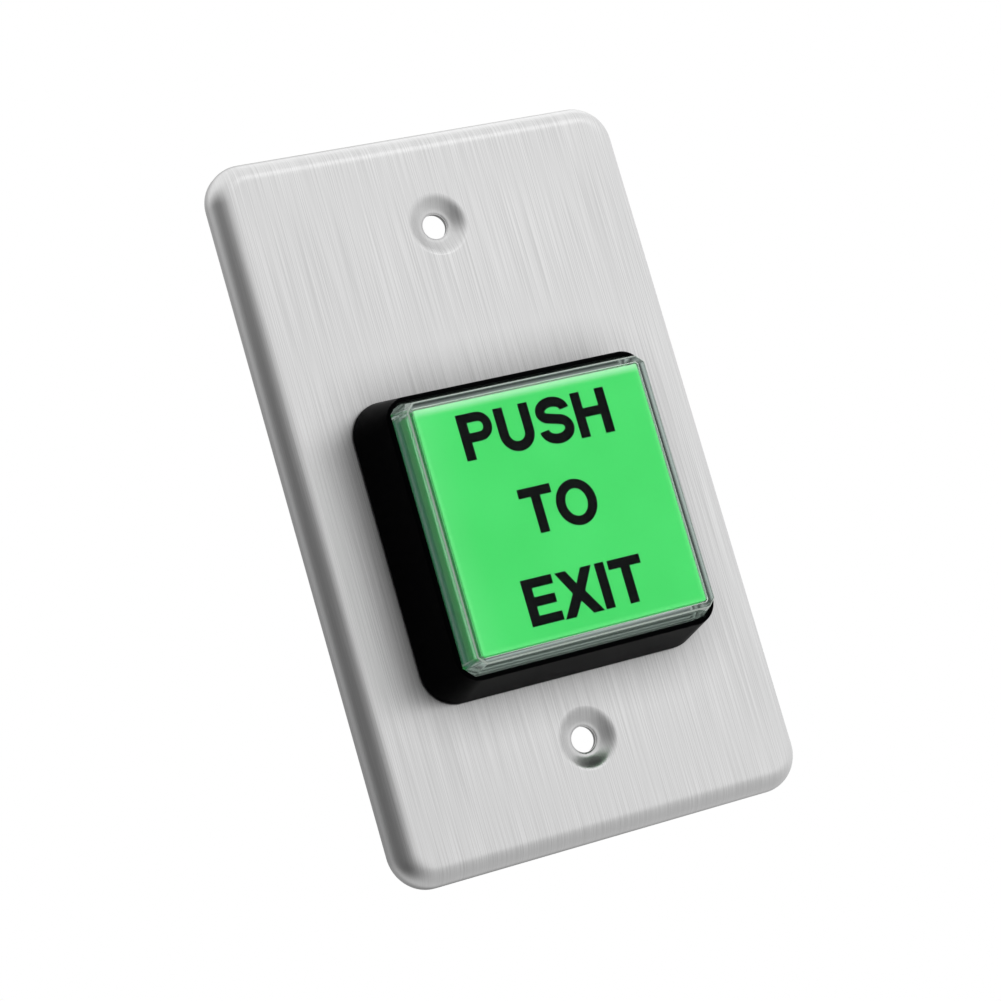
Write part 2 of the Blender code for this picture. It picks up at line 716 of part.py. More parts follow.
def make_common_tab(look):
    left = common_tab_left()
    right = left + TAB_SHEET
    end = switch_back + TAB_REACH
    half = TAB_WIDTH / 2
    tab = extruded("common_tab", [
        (anchor_x - ANCHOR_PAD, pad_top), (right, pad_top), (right, end), (left, end),
        (left, pad_top + TAB_SHEET), (anchor_x - ANCHOR_PAD, pad_top + TAB_SHEET),
    ], switch_z - half, switch_z + half, look)
    rivet_hole = turned("tool_pad_hole", [
        (RIVET_WIDTH / 2 + PIN_GAP, pad_top - OVERCUT),
        (RIVET_WIDTH / 2 + PIN_GAP, pad_top + TAB_SHEET + OVERCUT)], None, steps=12)
    tab_hole = turned("tool_hole_common", [(TAB_HOLE / 2, -OVERCUT), (TAB_HOLE / 2, TAB_SHEET + OVERCUT)],
                      None, steps=12)
    tab_hole.data.transform(Matrix.Rotation(-math.pi / 2, 4, "Z"))
    return combine(tab, "DIFFERENCE", shifted(rivet_hole, anchor_x, 0.0, switch_z),
                   shifted(tab_hole, left, end - TAB_HOLE_INSET, switch_z))


def make_contacts(look):
    radius = CONTACT_WIDTH / 2
    narrow = radius - CONTACT_CHAMFER
    place = axis_place + Vector((contact_x, 0.0, switch_z))
    upper = closed_level + TAB_SHEET + PIN_GAP
    lower = open_level - PIN_GAP - CONTACT_THICK
    turned("closed_contact", [
        (radius, upper), (radius, upper + CONTACT_THICK - CONTACT_CHAMFER),
        (narrow, upper + CONTACT_THICK)], look, steps=20, place=place)
    turned("open_contact", [
        (narrow, lower), (radius, lower + CONTACT_CHAMFER),
        (radius, lower + CONTACT_THICK)], look, steps=20, place=place)


def blade_axis():
    """Where the blade bends at its rivet, which its moving contact follows."""
    return axis_place + Vector((anchor_x, blade_y, switch_z))


def make_moving_contact(look):
    radius = CONTACT_WIDTH / 2
    narrow = radius - CONTACT_CHAMFER
    shank = MOVING_SHANK / 2
    near = BLADE_SHEET / 2 + PIN_GAP
    far = near + MOVING_HEAD
    edge = far - CONTACT_CHAMFER
    contact = turned("moving_contact", [
        (narrow, -far), (radius, -edge), (radius, -near), (shank, -near),
        (shank, near), (radius, near), (radius, edge), (narrow, far)], look, steps=20, place=blade_axis())
    return shifted(contact, contact_x - anchor_x, 0.0, 0.0)


def make_snap_blade(look):
    """Flat spring from its rivet on the common tab to the moving contact, with its tongue cut free."""
    place = blade_axis()
    half = BLADE_WIDTH / 2
    sheet = BLADE_SHEET / 2
    arm = contact_x - anchor_x
    end = arm + CONTACT_WIDTH / 2 + BLADE_OVERHANG
    blade = block("snap_blade", (-BLADE_OVERHANG, -sheet, -half), (end, sheet, half), look, place)
    for name, x, radius in (("tool_blade_rivet_hole", 0.0, RIVET_WIDTH / 2),
                            ("tool_blade_contact_hole", arm, MOVING_SHANK / 2)):
        hole = turned(name, [(radius + PIN_GAP, -OVERCUT), (radius + PIN_GAP, OVERCUT)],
                      None, 16, place=place)
        combine(blade, "DIFFERENCE", shifted(hole, x, 0.0, 0.0))
    start = button_x - BUTTON_FOOT - anchor_x
    for side in (-1, 1):
        middle = side * half / 2
        slit = block("tool_slit_%d" % (side + 1), (start, -OVERCUT, middle - SLIT_WIDTH / 2),
                     (arm - CONTACT_WIDTH / 2 - SLIT_WIDTH, OVERCUT, middle + SLIT_WIDTH / 2), place=place)
        combine(blade, "DIFFERENCE", slit)
    return blade


def make_blade_rivet(look):
    """The rivet that holds the blade on the common tab's pad, with a head on either side."""
    head = RIVET_HEAD / 2
    shank = RIVET_WIDTH / 2
    top = blade_y - BLADE_SHEET / 2 - PIN_GAP
    bottom = pad_top + TAB_SHEET + PIN_GAP
    place = axis_place + Vector((anchor_x, 0.0, switch_z))
    return turned("blade_rivet", [
        (head, top - RIVET_HEAD_THICK), (head, top), (shank, top),
        (shank, bottom), (head, bottom), (head, bottom + RIVET_HEAD_THICK)], look, steps=12, place=place)


def make_switch_case(look):
    low = switch_z - SWITCH_THICK / 2 + SWITCH_COVER + SEAT
    high = switch_z + SWITCH_THICK / 2
    left, right = switch_x - SWITCH_LENGTH / 2, switch_x + SWITCH_LENGTH / 2
    top, bottom = switch_top, switch_back
    case = extruded("switch_case", panel(left, right, top, bottom, SWITCH_EDGE), low, high, look)
    cavity = block("tool_switch_cavity", (left + SWITCH_WALL, top + SWITCH_WALL, low - OVERCUT),
                   (right - SWITCH_WALL, bottom - SWITCH_WALL, high - SWITCH_WALL))
    combine(case, "DIFFERENCE", cavity)
    ear = HINGE_PIN / 2 + EAR_WALL
    root = top + SWITCH_WALL / 2
    for side in (-1, 1):
        inner = switch_z + side * (LEVER_WIDTH / 2 + SLIDE)
        outer = inner + side * EAR_WALL
        steps = 8
        outline = [(hinge_x + ear, root)]
        for i in range(steps + 1):
            angle = i / steps * math.pi
            outline.append((hinge_x + ear * math.cos(angle), hinge_y - ear * math.sin(angle)))
        outline.append((hinge_x - ear, root))
        combine(case, "UNION", extruded("tool_ear_%d" % (side + 1), outline,
                                        min(inner, outer), max(inner, outer)))
    combine(case, "DIFFERENCE", rod("tool_pin_hole", hinge_x, hinge_y, HINGE_PIN / 2 + PIN_GAP,
                                    switch_z - LEVER_WIDTH, switch_z + LEVER_WIDTH))
    for number, (x, y) in enumerate(mount_holes()):
        boss = rod("tool_boss_%d" % number, x, y, MOUNT_HOLE / 2 + BOSS_WALL, low, high - SWITCH_WALL / 2)
        hole = rod("tool_mount_hole_%d" % number, x, y, MOUNT_HOLE / 2, low - OVERCUT, high + OVERCUT)
        combine(case, "UNION", boss)
        combine(case, "DIFFERENCE", hole)
    radius = BUTTON_WIDTH / 2 + SLIDE
    guide = turned("tool_button_hole", [
        (radius, top - OVERCUT), (radius, top + SWITCH_WALL + OVERCUT)], None, steps=24)
    combine(case, "DIFFERENCE", shifted(guide, button_x, 0.0, switch_z))
    half = TAB_WIDTH / 2 + SEAT
    for number, level in enumerate((closed_level, open_level)):
        slot = block("tool_side_slot_%d" % number, (right - 2 * SWITCH_WALL, level - SEAT, switch_z - half),
                     (right + OVERCUT, level + TAB_SHEET + SEAT, switch_z + half))
        combine(case, "DIFFERENCE", slot)
    tab_left = common_tab_left()
    slot = block("tool_common_slot", (tab_left - SEAT, bottom - 2 * SWITCH_WALL, switch_z - half),
                 (tab_left + TAB_SHEET + SEAT, bottom + OVERCUT, switch_z + half))
    return combine(case, "DIFFERENCE", slot)


def make_switch_cover(look):
    low = switch_z - SWITCH_THICK / 2
    high = low + SWITCH_COVER
    left, right = switch_x - SWITCH_LENGTH / 2, switch_x + SWITCH_LENGTH / 2
    outline = panel(left, right, switch_top, switch_back, SWITCH_EDGE)
    cover = extruded("switch_cover", outline, low, high, look)
    for number, (x, y) in enumerate(mount_holes()):
        hole = rod("tool_cover_hole_%d" % number, x, y, MOUNT_HOLE / 2, low - OVERCUT, high + OVERCUT)
        combine(cover, "DIFFERENCE", hole)
    return cover


def make_switch_button(look):
    place = axis_place + Vector((button_x, 0.0, switch_z))
    radius = BUTTON_WIDTH / 2
    collar = switch_top + SWITCH_WALL + SEAT
    foot = blade_y - BLADE_SHEET / 2 - PRETRAVEL
    steps = 3
    profile = []
    for i in range(steps + 1):
        angle = i / steps * math.pi / 2
        profile.append((radius - BUTTON_DOME * (1 - math.sin(angle)),
                        button_top + BUTTON_DOME * (1 - math.cos(angle))))
    profile += [(radius, collar), (BUTTON_COLLAR / 2, collar), (BUTTON_COLLAR / 2, collar + COLLAR_THICK),
                (BUTTON_FOOT / 2, collar + COLLAR_THICK), (BUTTON_FOOT / 2, foot)]
    return turned("switch_button", profile, look, steps=24, place=place)


def make_switch_lever(look):
    """A strip that curls round the hinge pin, passes over the button and ends past the plunger's leg."""
    place = axis_place + Vector((hinge_x, hinge_y, switch_z))
    steps = 12
    half = LEVER_SHEET / 2
    length = LEVER_ARM + LEVER_TIP
    reach = math.sqrt(LEVER_CURL ** 2 - half ** 2)
    start = math.atan2(half, reach)
    outline = [(length - LEVER_END_CUT, -half), (length, -half + LEVER_END_CUT), (length, half)]
    for i in range(steps + 1):
        angle = start + i / steps * (2 * math.pi - 2 * start)
        outline.append((LEVER_CURL * math.cos(angle), LEVER_CURL * math.sin(angle)))
    lever = extruded("switch_lever", outline, -LEVER_WIDTH / 2, LEVER_WIDTH / 2, look, place=place)
    lever.data.transform(Matrix.Rotation(-LEVER_REST, 4, "Z"))
    eye = rod("tool_lever_eye", 0.0, 0.0, HINGE_PIN / 2 + PIN_GAP, -LEVER_WIDTH, LEVER_WIDTH, place=place)
    return combine(lever, "DIFFERENCE", eye)


def make_hinge_pin(look):
    half = LEVER_WIDTH / 2 + SLIDE + EAR_WALL
    return rod("lever_pin", hinge_x, hinge_y, HINGE_PIN / 2, switch_z - half, switch_z + half, look)


def build():
    clear_scene()
    steel = material("brushed_stainless", (0.62, 0.62, 0.61), 0.35, 1.0)
    black = material("black_abs", (0.012, 0.012, 0.013), 0.35)
    clear = material("clear_acrylic", (0.95, 0.98, 0.96), 0.03, 0.0, 1.0)
    green = material("green_legend", (0.09, 0.72, 0.17), 0.4)
    milky = material("milky_diffuser", (0.85, 0.87, 0.85), 0.45)
    white = material("white_nylon", (0.78, 0.78, 0.76), 0.45)
    wire = material("spring_wire", (0.55, 0.55, 0.56), 0.3, 1.0)
    zinc = material("zinc_washer", (0.6, 0.62, 0.66), 0.4, 1.0)
    nut = material("nut_nylon", (0.02, 0.02, 0.022), 0.5)
    grey = material("holder_nylon", (0.25, 0.25, 0.26), 0.5)
    lamp_white = material("lamp_base_nylon", (0.8, 0.8, 0.78), 0.4)
    lamp_clear = material("lamp_resin", (0.75, 0.92, 0.8), 0.1, 0.0, 0.8)
    brass = material("brass_tab", (0.78, 0.6, 0.3), 0.3, 1.0)
    phenolic = material("switch_phenolic", (0.03, 0.03, 0.032), 0.5)
    cover = material("switch_cover_phenolic", (0.05, 0.05, 0.052), 0.5)
    red = material("red_button", (0.5, 0.03, 0.03), 0.4)
    lever = material("lever_stainless", (0.6, 0.6, 0.6), 0.25, 1.0)
    copper = material("beryllium_copper", (0.75, 0.45, 0.25), 0.3, 1.0)
    silver = material("silver_contact", (0.85, 0.85, 0.85), 0.2, 1.0)
    make_face_plate(steel)
    make_bezel_housing(black)
    make_washer(zinc)
    make_barrel_nut(nut)
    make_plunger(white)
    make_insert("diffuser", diffuser_front, diffuser_back, milky)
    make_insert("legend_insert", legend_front, legend_back, green)
    make_lens_cap(clear)
    make_return_spring(wire)
    make_lamp_holder(grey)
    make_lamp(lamp_white, lamp_clear)
    make_lamp_tabs(brass)
    make_switch_case(phenolic)
    make_switch_cover(cover)
    make_switch_button(red)
    make_switch_lever(lever)
    make_hinge_pin(lever)
    make_snap_blade(copper)
    make_moving_contact(silver)
    make_blade_rivet(brass)
    make_common_tab(brass)
    make_side_tab("closed_tab", closed_level, brass)
    make_side_tab("open_tab", open_level, brass)
    make_contacts(silver)


build()
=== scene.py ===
import math
from functools import partial

import bmesh
import bpy
from mathutils import Matrix, Vector


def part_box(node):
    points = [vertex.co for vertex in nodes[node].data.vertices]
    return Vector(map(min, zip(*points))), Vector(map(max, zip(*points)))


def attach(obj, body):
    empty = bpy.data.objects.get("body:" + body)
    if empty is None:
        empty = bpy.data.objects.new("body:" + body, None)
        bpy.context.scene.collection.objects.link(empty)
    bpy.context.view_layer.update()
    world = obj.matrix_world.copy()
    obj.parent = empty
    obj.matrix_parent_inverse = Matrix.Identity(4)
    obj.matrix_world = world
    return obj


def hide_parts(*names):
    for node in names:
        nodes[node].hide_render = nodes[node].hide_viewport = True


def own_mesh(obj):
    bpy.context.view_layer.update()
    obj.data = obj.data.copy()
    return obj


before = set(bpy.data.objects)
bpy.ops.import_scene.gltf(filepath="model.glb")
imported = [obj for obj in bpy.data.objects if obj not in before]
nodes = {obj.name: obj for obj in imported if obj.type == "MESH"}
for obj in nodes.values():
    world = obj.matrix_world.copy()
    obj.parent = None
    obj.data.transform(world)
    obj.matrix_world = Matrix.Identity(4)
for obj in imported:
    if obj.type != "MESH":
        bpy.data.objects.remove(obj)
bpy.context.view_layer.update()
scene = bpy.context.scene

# All sizes are in metres. The room is on the -Y side, and the wall is at y = 0.
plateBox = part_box("face_plate")
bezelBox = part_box("bezel_housing")
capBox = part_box("lens_cap")
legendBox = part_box("legend_insert")
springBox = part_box("return_spring")
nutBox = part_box("barrel_nut")
buttonAxis = Vector((0.0, 0.0, (capBox[0].z + capBox[1].z) / 2))  # the button sits below the plate's middle


def hexColour(code):
    # sRGB hex to the linear values that the shaders use
    values = [int(code[i:i + 2], 16) / 255 for i in (1, 3, 5)]
    return [v / 12.92 if v <= 0.04045 else ((v + 0.055) / 1.055) ** 2.4 for v in values] + [1.0]


def feed(target, wants):
    # a want is a socket or a node's first output to link, or the value of an input or a property
    for key, want in wants.items():
        if isinstance(want, bpy.types.Node):
            want = want.outputs[0]
        if isinstance(want, bpy.types.NodeSocket):
            target.id_data.links.new(want, target.inputs[key])
        elif isinstance(key, int) or key in target.inputs:
            isColour = isinstance(want, str) and want.startswith("#")
            target.inputs[key].default_value = hexColour(want) if isColour else want
        else:
            setattr(target, key, want)
    return target


def addNode(tree, kind, *wants):
    # with the node's operation, where it has one, and a table of its other wants
    names = [family + kind for family in ("ShaderNode", "GeometryNode", "Node")]
    made = tree.nodes.new(next(name for name in names if hasattr(bpy.types, name)))
    for want in wants:
        feed(made, {"operation": want} if isinstance(want, str) else want)
    return made


def newMaterial(name, settings):
    # a material with addNode for its own tree, and its shader
    made = bpy.data.materials.new(name)
    made.use_nodes = True
    return made, partial(addNode, made.node_tree), feed(made.node_tree.nodes["Principled BSDF"], settings)


def newObject(name, mesh, look=None):
    if look:
        mesh.materials.clear()
        mesh.materials.append(look)
    made = bpy.data.objects.new(name, mesh)
    scene.collection.objects.link(made)
    return made


def shadeEdges(mesh, sharpAngle):
    mesh.shade_smooth()
    mesh.set_sharp_from_angle(angle=math.radians(sharpAngle))


def meshFrom(name, bm, look=None, sharpAngle=35, turnOut=True):
    if turnOut:
        bmesh.ops.recalc_face_normals(bm, faces=bm.faces)
    mesh = bpy.data.meshes.new(name)
    bm.to_mesh(mesh)
    bm.free()
    shadeEdges(mesh, sharpAngle)
    return newObject(name, mesh, look)


def plainMesh(piece):
    # the finished shape of a curve, or of a piece with modifiers
    graph = bpy.context.evaluated_depsgraph_get()
    return bpy.data.meshes.new_from_object(piece.evaluated_get(graph), depsgraph=graph)


def applyModifiers(piece):
    mesh, old = plainMesh(piece), piece.data
    piece.modifiers.clear()
    piece.data = mesh
    bpy.data.meshes.remove(old)
    mesh.name = piece.name


def cutAway(piece, cutters):
    for cutter in cutters:
        step = piece.modifiers.new(cutter.name, "BOOLEAN")
        step.operation = "DIFFERENCE"
        step.solver = "MANIFOLD"
        step.object = cutter
    applyModifiers(piece)
    for cutter in cutters:
        bpy.data.objects.remove(cutter)


def place(piece, body, slot, *replaced):
    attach(piece, body)
    if replaced:
        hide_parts(*replaced)


def cornerRing(halfX, halfZ, corner, y, steps):
    # a rectangle's outline with round corners, or chamfered ones where steps is 1
    points = []
    for quarter in range(4):
        sideX = 1 if quarter in (0, 3) else -1
        sideZ = 1 if quarter in (0, 1) else -1
        for i in range(steps + 1):
            angle = (quarter + i / steps) * math.pi / 2
            points.append(Vector((sideX * (halfX - corner) + corner * math.cos(angle), y,
                                  sideZ * (halfZ - corner) + corner * math.sin(angle))))
    return points


def roundRing(radius, y, count, middle=(0.0, 0.0)):
    # count points, of which the first lies half a step past the x axis
    turn = 2 * math.pi / count
    return [Vector((middle[0] + radius * math.cos((i + 0.5) * turn), y,
                    middle[1] + radius * math.sin((i + 0.5) * turn))) for i in range(count)]


def shapedRing(radiusAt, y, count):
    return [Vector((point.x * radiusAt(point), y, point.z * radiusAt(point)))
            for point in roundRing(1.0, y, count)]


def quarterTurn(steps, inset, y, radius):
    # insets and depths along a quarter round that starts upright at y and turns in to the front
    angles = [i / steps * math.pi / 2 for i in range(steps + 1)]
    return [(inset + radius * (1 - math.cos(angle)), y + radius * (1 - math.sin(angle))) for angle in angles]


def bendPoint(start, bend, end, share):
    return start.lerp(bend, share).lerp(bend.lerp(end, share), share)


def easedRing(ring, radius, steps):
    # each corner of an outline eased by a short curve
    points = []
    for i, corner in enumerate(ring):
        before = ring[i - 1] - corner
        after = ring[(i + 1) % len(ring)] - corner
        reach = radius / math.tan(before.angle(after) / 2)
        start = corner + before.normalized() * reach
        end = corner + after.normalized() * reach
        points += [bendPoint(start, corner, end, k / steps) for k in range(steps + 1)]
    return points


def skin(bm, rings, joined=False, capped=True):
    loops = [[bm.verts.new(point) for point in ring] for ring in rings]
    pairs = list(zip(loops, loops[1:])) + ([(loops[-1], loops[0])] if joined else [])
    for lower, upper in pairs:
        for i in range(len(lower)):
            j = (i + 1) % len(lower)
            bm.faces.new((lower[i], lower[j], upper[j], upper[i]))
    if capped and not joined:
        bm.faces.new(loops[0])
        bm.faces.new(loops[-1])
    return loops


def skinned(name, rings, look=None, joined=False):
    # a closed skin over rings that lie round the button's axis
    bm = bmesh.new()
    skin(bm, rings, joined)
    bmesh.ops.translate(bm, vec=buttonAxis, verts=bm.verts)
    return meshFrom(name, bm, look)


def boxCutter(name, low, high, spin=0.0):
    # a block round the button's axis, turned about it by spin
    bm = bmesh.new()
    bmesh.ops.create_cube(bm, size=1.0)
    bmesh.ops.scale(bm, vec=[b - a for a, b in zip(low, high)], verts=bm.verts)
    bmesh.ops.translate(bm, vec=[(a + b) / 2 for a, b in zip(low, high)], verts=bm.verts)
    bmesh.ops.transform(bm, matrix=Matrix.Translation(buttonAxis) @ Matrix.Rotation(-spin, 4, "Y"), verts=bm.verts)
    return meshFrom(name, bm)


# Materials

# widths and lengths of the steel's grit lines and belt passes, depths past its face, and the reach of its painted
# shade
steelFinish = {"grit": (0.00017, 0.024), "passes": (0.0009, 0.045), "passShare": 0.12, "bendFrom": 0.0001,
               "bendTo": 0.0009, "bendKeeps": 0.35, "paintedShadeReach": 0.008}
# how far apart the soft patches lie in each kind of finish, and the width of metal's working lines
patches = {"moulded": 0.012, "metal": 0.003, "metalLines": 0.00012, "clear": 0.004, "film": 0.011}
# the legend's painted light rims: where each starts and is full, counted from the button's axis, its share and
# colour
legendPaintedLightRims = {"all": (0.0180, 0.0190, 0.4, "#8CFBA4"), "top": (0.0174, 0.0189, 0.75, "#C4F8D0"),
              "left": (-0.0135, -0.0189, 0.15, "#86F2A0")}
# the cap's foot: its inner and outer edge, where its left side ends, and how its painted glow runs from edge to
# edge
foot = {"inner": 0.0192, "outer": 0.0209, "leftFrom": -0.0195, "leftTo": -0.0180,
        "left": [(0.0, "#64806F"), (0.12, "#40665A"), (0.30, "#30644A"), (0.52, "#266C3C"), (0.72, "#247A3C"),
                 (0.88, "#34A054"), (1.0, "#8CC49E")],
        "round": [(0.0, "#2C3230"), (0.22, "#A8B4B0"), (0.42, "#3A403E"), (0.70, "#8A9490"), (1.0, "#303634")]}


def brushedStainless():
    # 304 stainless sheet, linished along its length: long hair-fine streaks, silky and never a mirror
    look, add, shader = newMaterial("brushedStainless", {"Metallic": 1.0, "Anisotropic": 0.75})
    sheet = add("UVMap", {"uv_map": "sheet"})
    # grit lines, a little coarser than the real 0.1 mm, and the belt's passes, which are only just visible
    streaks = []
    for width, length in (steelFinish["grit"], steelFinish["passes"]):
        lines = add("Mapping", {"Scale": (1 / width, 1 / length, 1.0), "Vector": sheet})
        streaks.append(add("TexNoise", {"noise_dimensions": "2D", "Scale": 1.0, "Detail": 1.0, "Vector": lines}))
    share = add("Math", "MULTIPLY", {0: streaks[1], 1: steelFinish["passShare"]})
    both = add("Math", "MULTIPLY_ADD", {0: streaks[0], 1: 1 - steelFinish["passShare"], 2: share})
    # the press smooths the lines where it bends the sheet over
    split = add("SeparateXYZ", {0: add("TexCoord").outputs["Object"]})
    front = plateBox[0].y
    bent = add("MapRange",
               {"From Min": front + steelFinish["bendFrom"], "From Max": front + steelFinish["bendTo"],
                "To Min": 1.0, "To Max": steelFinish["bendKeeps"], "Value": split.outputs[1]})
    offset = add("Math", "SUBTRACT", {0: both, 1: 0.5})
    kept = add("Math", "MULTIPLY", {0: offset, 1: bent})
    spread = add("MapRange", {"From Min": -0.2, "From Max": 0.2, "Value": kept})
    colour = add("Mix", {"data_type": "RGBA", 6: "#D2D2D2", 7: "#ECECEC", 0: spread})
    # painted shade: the base colour darkens beside the housing's walls, standing for the room's soft light that
    # the housing keeps off the satin steel there
    paintedShadeNearWalls = add("AmbientOcclusion",
                    {"samples": 8, "Distance": steelFinish["paintedShadeReach"], "Color": colour.outputs[2]})
    rough = add("MapRange", {"To Min": 0.32, "To Max": 0.38, "Value": spread})
    bump = add("Bump", {"Strength": 0.08, "Distance": 0.00002, "Height": both})
    tangent = add("Tangent", {"direction_type": "UV_MAP", "uv_map": "sheet"})
    feed(shader, {"Base Color": paintedShadeNearWalls, "Roughness": rough, "Normal": bump, "Tangent": tangent})
    return look


def mouldedPlastic(name, colour, roughness, grain=0.0003, bumpStrength=0.06, extra=None):
    # injection-moulded plastic: even colour, a fine satin grain from the tool, slightly uneven sheen
    look, add, shader = newMaterial(name, {"Roughness": roughness, "IOR": 1.5, **(extra or {})})
    spot = add("TexCoord").outputs["Object"]
    satin = add("TexNoise", {"Scale": 1 / grain, "Detail": 2.0, "Vector": spot})
    cloud = add("TexNoise", {"Scale": 1 / patches["moulded"], "Detail": 2.0, "Vector": spot})
    light = hexColour(colour)
    dark = [v * 0.93 for v in light[:3]] + [1.0]
    tint = add("Mix", {"data_type": "RGBA", 6: dark, 7: light, 0: cloud})
    sheen = add("MapRange", {"To Min": roughness - 0.05, "To Max": roughness + 0.05, "Value": cloud})
    bump = add("Bump", {"Strength": bumpStrength, "Distance": 0.00003, "Height": satin})
    feed(shader, {"Base Color": tint.outputs[2], "Roughness": sheen, "Normal": bump})
    return look


def workedMetal(name, light, dark, roughness, stretch=(1, 1, 1)):
    # rolled, drawn or plated metal: faint lines along the working direction and a soft uneven sheen
    look, add, shader = newMaterial(name, {"Metallic": 1.0})
    spot = add("TexCoord").outputs["Object"]
    lines = add("Mapping", {"Scale": [1 / (patches["metalLines"] * s) for s in stretch], "Vector": spot})
    streaks = add("TexNoise", {"Scale": 1.0, "Detail": 2.0, "Vector": lines})
    cloud = add("TexNoise", {"Scale": 1 / patches["metal"], "Detail": 3.0, "Vector": spot})
    tint = add("Mix", {"data_type": "RGBA", 6: dark, 7: light, 0: cloud})
    rough = add("MapRange", {"To Min": roughness - 0.07, "To Max": roughness + 0.07, "Value": streaks})
    bump = add("Bump", {"Strength": 0.1, "Distance": 0.00002, "Height": streaks})
    feed(shader, {"Base Color": tint.outputs[2], "Roughness": rough, "Normal": bump})
    return look


def clearPlastic(name, tint, settings):
    # polished clear moulding: sharp refraction at its corners, faintly wavy faces, lamps pass through it
    look, add, shader = newMaterial(name, {"Base Color": tint, "Transmission Weight": 1.0, **settings})
    flow = add("TexNoise",
               {"Scale": 1 / patches["clear"], "Detail": 1.0, "Vector": add("TexCoord").outputs["Object"]})
    bump = add("Bump", {"Strength": 0.05, "Distance": 0.00005, "Height": flow})
    feed(shader, {"Normal": bump})
    path = add("LightPath")
    through = add("BsdfTransparent", {"Color": tint})
    mixed = add("MixShader", {0: path.outputs["Is Shadow Ray"], 1: shader, 2: through})
    feed(look.node_tree.nodes["Material Output"], {"Surface": mixed})
    return look


def fromButtonAxis(add, coords):
    # a point's place from the button's axis, and how far out it lies on a square round it
    centred = add("VectorMath", "SUBTRACT", {0: coords.outputs["Object"], 1: buttonAxis})
    far = add("SeparateXYZ", {0: add("VectorMath", "ABSOLUTE", {0: centred})})
    reach = add("Math", "MAXIMUM", {0: far, 1: far.outputs[2]})
    return add("SeparateXYZ", {0: centred}).outputs, reach


def printedLegend():
    # backlit green film, whose backlight is a faint painted glow: saturated and almost flat, with painted light
    # where the cap's walls feed light into its edges, most along the top edge and a little at the left
    look, add, shader = newMaterial("greenLegendFilm",
                                    {"Roughness": 0.45, "IOR": 1.5, "Specular IOR Level": 0.1,
                                     "Emission Strength": 0.1, "Emission Color": "#4EDC70"})
    coords = add("TexCoord")
    cloud = add("TexNoise", {"Scale": 1 / patches["film"], "Detail": 1.0, "Vector": coords.outputs["Object"]})
    tint = add("Mix", {"data_type": "RGBA", 6: "#42D265", 7: "#50E074", 0: cloud})
    spot, reach = fromButtonAxis(add, coords)
    # painted light: each rim mixes a paler green in towards the film's edge
    for source, rim in ((reach, "all"), (spot[2], "top"), (spot[0], "left")):
        start, full, most, code = legendPaintedLightRims[rim]
        share = add("MapRange",
                    {"interpolation_type": "SMOOTHSTEP", "From Min": start, "From Max": full, "To Max": most,
                     "Value": source})
        tint = add("Mix", {"data_type": "RGBA", 7: code, 0: share, 6: tint.outputs[2]})
    feed(shader, {"Base Color": tint.outputs[2]})
    return look


def paintedGlowFoot():
    # painted light on the foot of the cap's walls: a glow that stands for the room's grey light carried round the
    # tray and for green on its left, in bands across the wall that the polished walls draw out as light and dark
    # lines
    look, add, shader = newMaterial("paintedGlowCapFoot",
                                    {"Roughness": 0.6, "Base Color": "#202422", "Emission Strength": 1.0})
    spot, reach = fromButtonAxis(add, add("TexCoord"))
    across = add("MapRange", {"From Min": foot["inner"], "From Max": foot["outer"], "Value": reach})
    side = add("MapRange", {"From Min": foot["leftFrom"], "From Max": foot["leftTo"], "Value": spot[0]})
    glow = add("Mix", {"data_type": "RGBA", 0: side})
    for bands, socket in ((foot["left"], 6), (foot["round"], 7)):
        ramp = add("ValToRGB", {0: across})
        stops = ramp.color_ramp.elements
        while len(stops) < len(bands):
            stops.new(0.5)
        for stop, (where, code) in zip(stops, bands):
            stop.position = where
            stop.color = hexColour(code)
        feed(glow, {socket: ramp})
    feed(shader, {"Emission Color": glow.outputs[2]})
    return look


print("materials")
steelLook = brushedStainless()
bezelLook = mouldedPlastic("mouldedBlackAbs", "#030304", 0.38, extra={"Specular IOR Level": 0.008})
capLook = clearPlastic("coatedClearAcrylic", "#F8FCF9", {"IOR": 1.09, "Roughness": 0.01})
capWallLook = clearPlastic("satinClearAcrylic", "#E4F4E8", {"IOR": 1.49, "Roughness": 0.03,
                                                            "Transmission Weight": 0.97})
capFootLook = paintedGlowFoot()
capEdgeLook = clearPlastic("frostedAcrylicEdge", "#E8F4EA", {"IOR": 1.49, "Roughness": 0.25,
                                                              "Transmission Weight": 0.45})
legendLook = printedLegend()
inkLook = mouldedPlastic("blackScreenInk", "#050507", 0.5, grain=0.0001, bumpStrength=0.1,
                         extra={"Specular IOR Level": 0.03})
# the diffuser's emission is a painted glow that stands for the lamp's light behind it
diffuserLook = mouldedPlastic("milkyGreenPolycarbonatePaintedGlow", "#6FD08A", 0.4,
                              extra={"Emission Color": "#2FB457", "Emission Strength": 0.6})
nylonLook = mouldedPlastic("whiteNylon", "#E2E1DC", 0.42)
lampBaseLook = mouldedPlastic("lampBaseNylon", "#E6E4DC", 0.38)
nutLook = mouldedPlastic("blackNylon", "#1A1A1C", 0.48)
holderLook = mouldedPlastic("greyNylon", "#8A8A8C", 0.5)
caseLook = mouldedPlastic("blackPhenolic", "#232325", 0.46, grain=0.00018, bumpStrength=0.12)
coverLook = mouldedPlastic("blackPhenolicCover", "#2B2B2D", 0.46, grain=0.00018, bumpStrength=0.12)
buttonLook = mouldedPlastic("redAcetal", "#B5211C", 0.32)
springLook = workedMetal("drawnMusicWire", "#C9CACC", "#A9ABAF", 0.26)
zincLook = workedMetal("zincPlatedSteel", "#D0D4DA", "#B9BEC7", 0.34)
leverLook = workedMetal("stampedStainless", "#CFCFCE", "#BDBDBC", 0.28, (40, 1, 1))
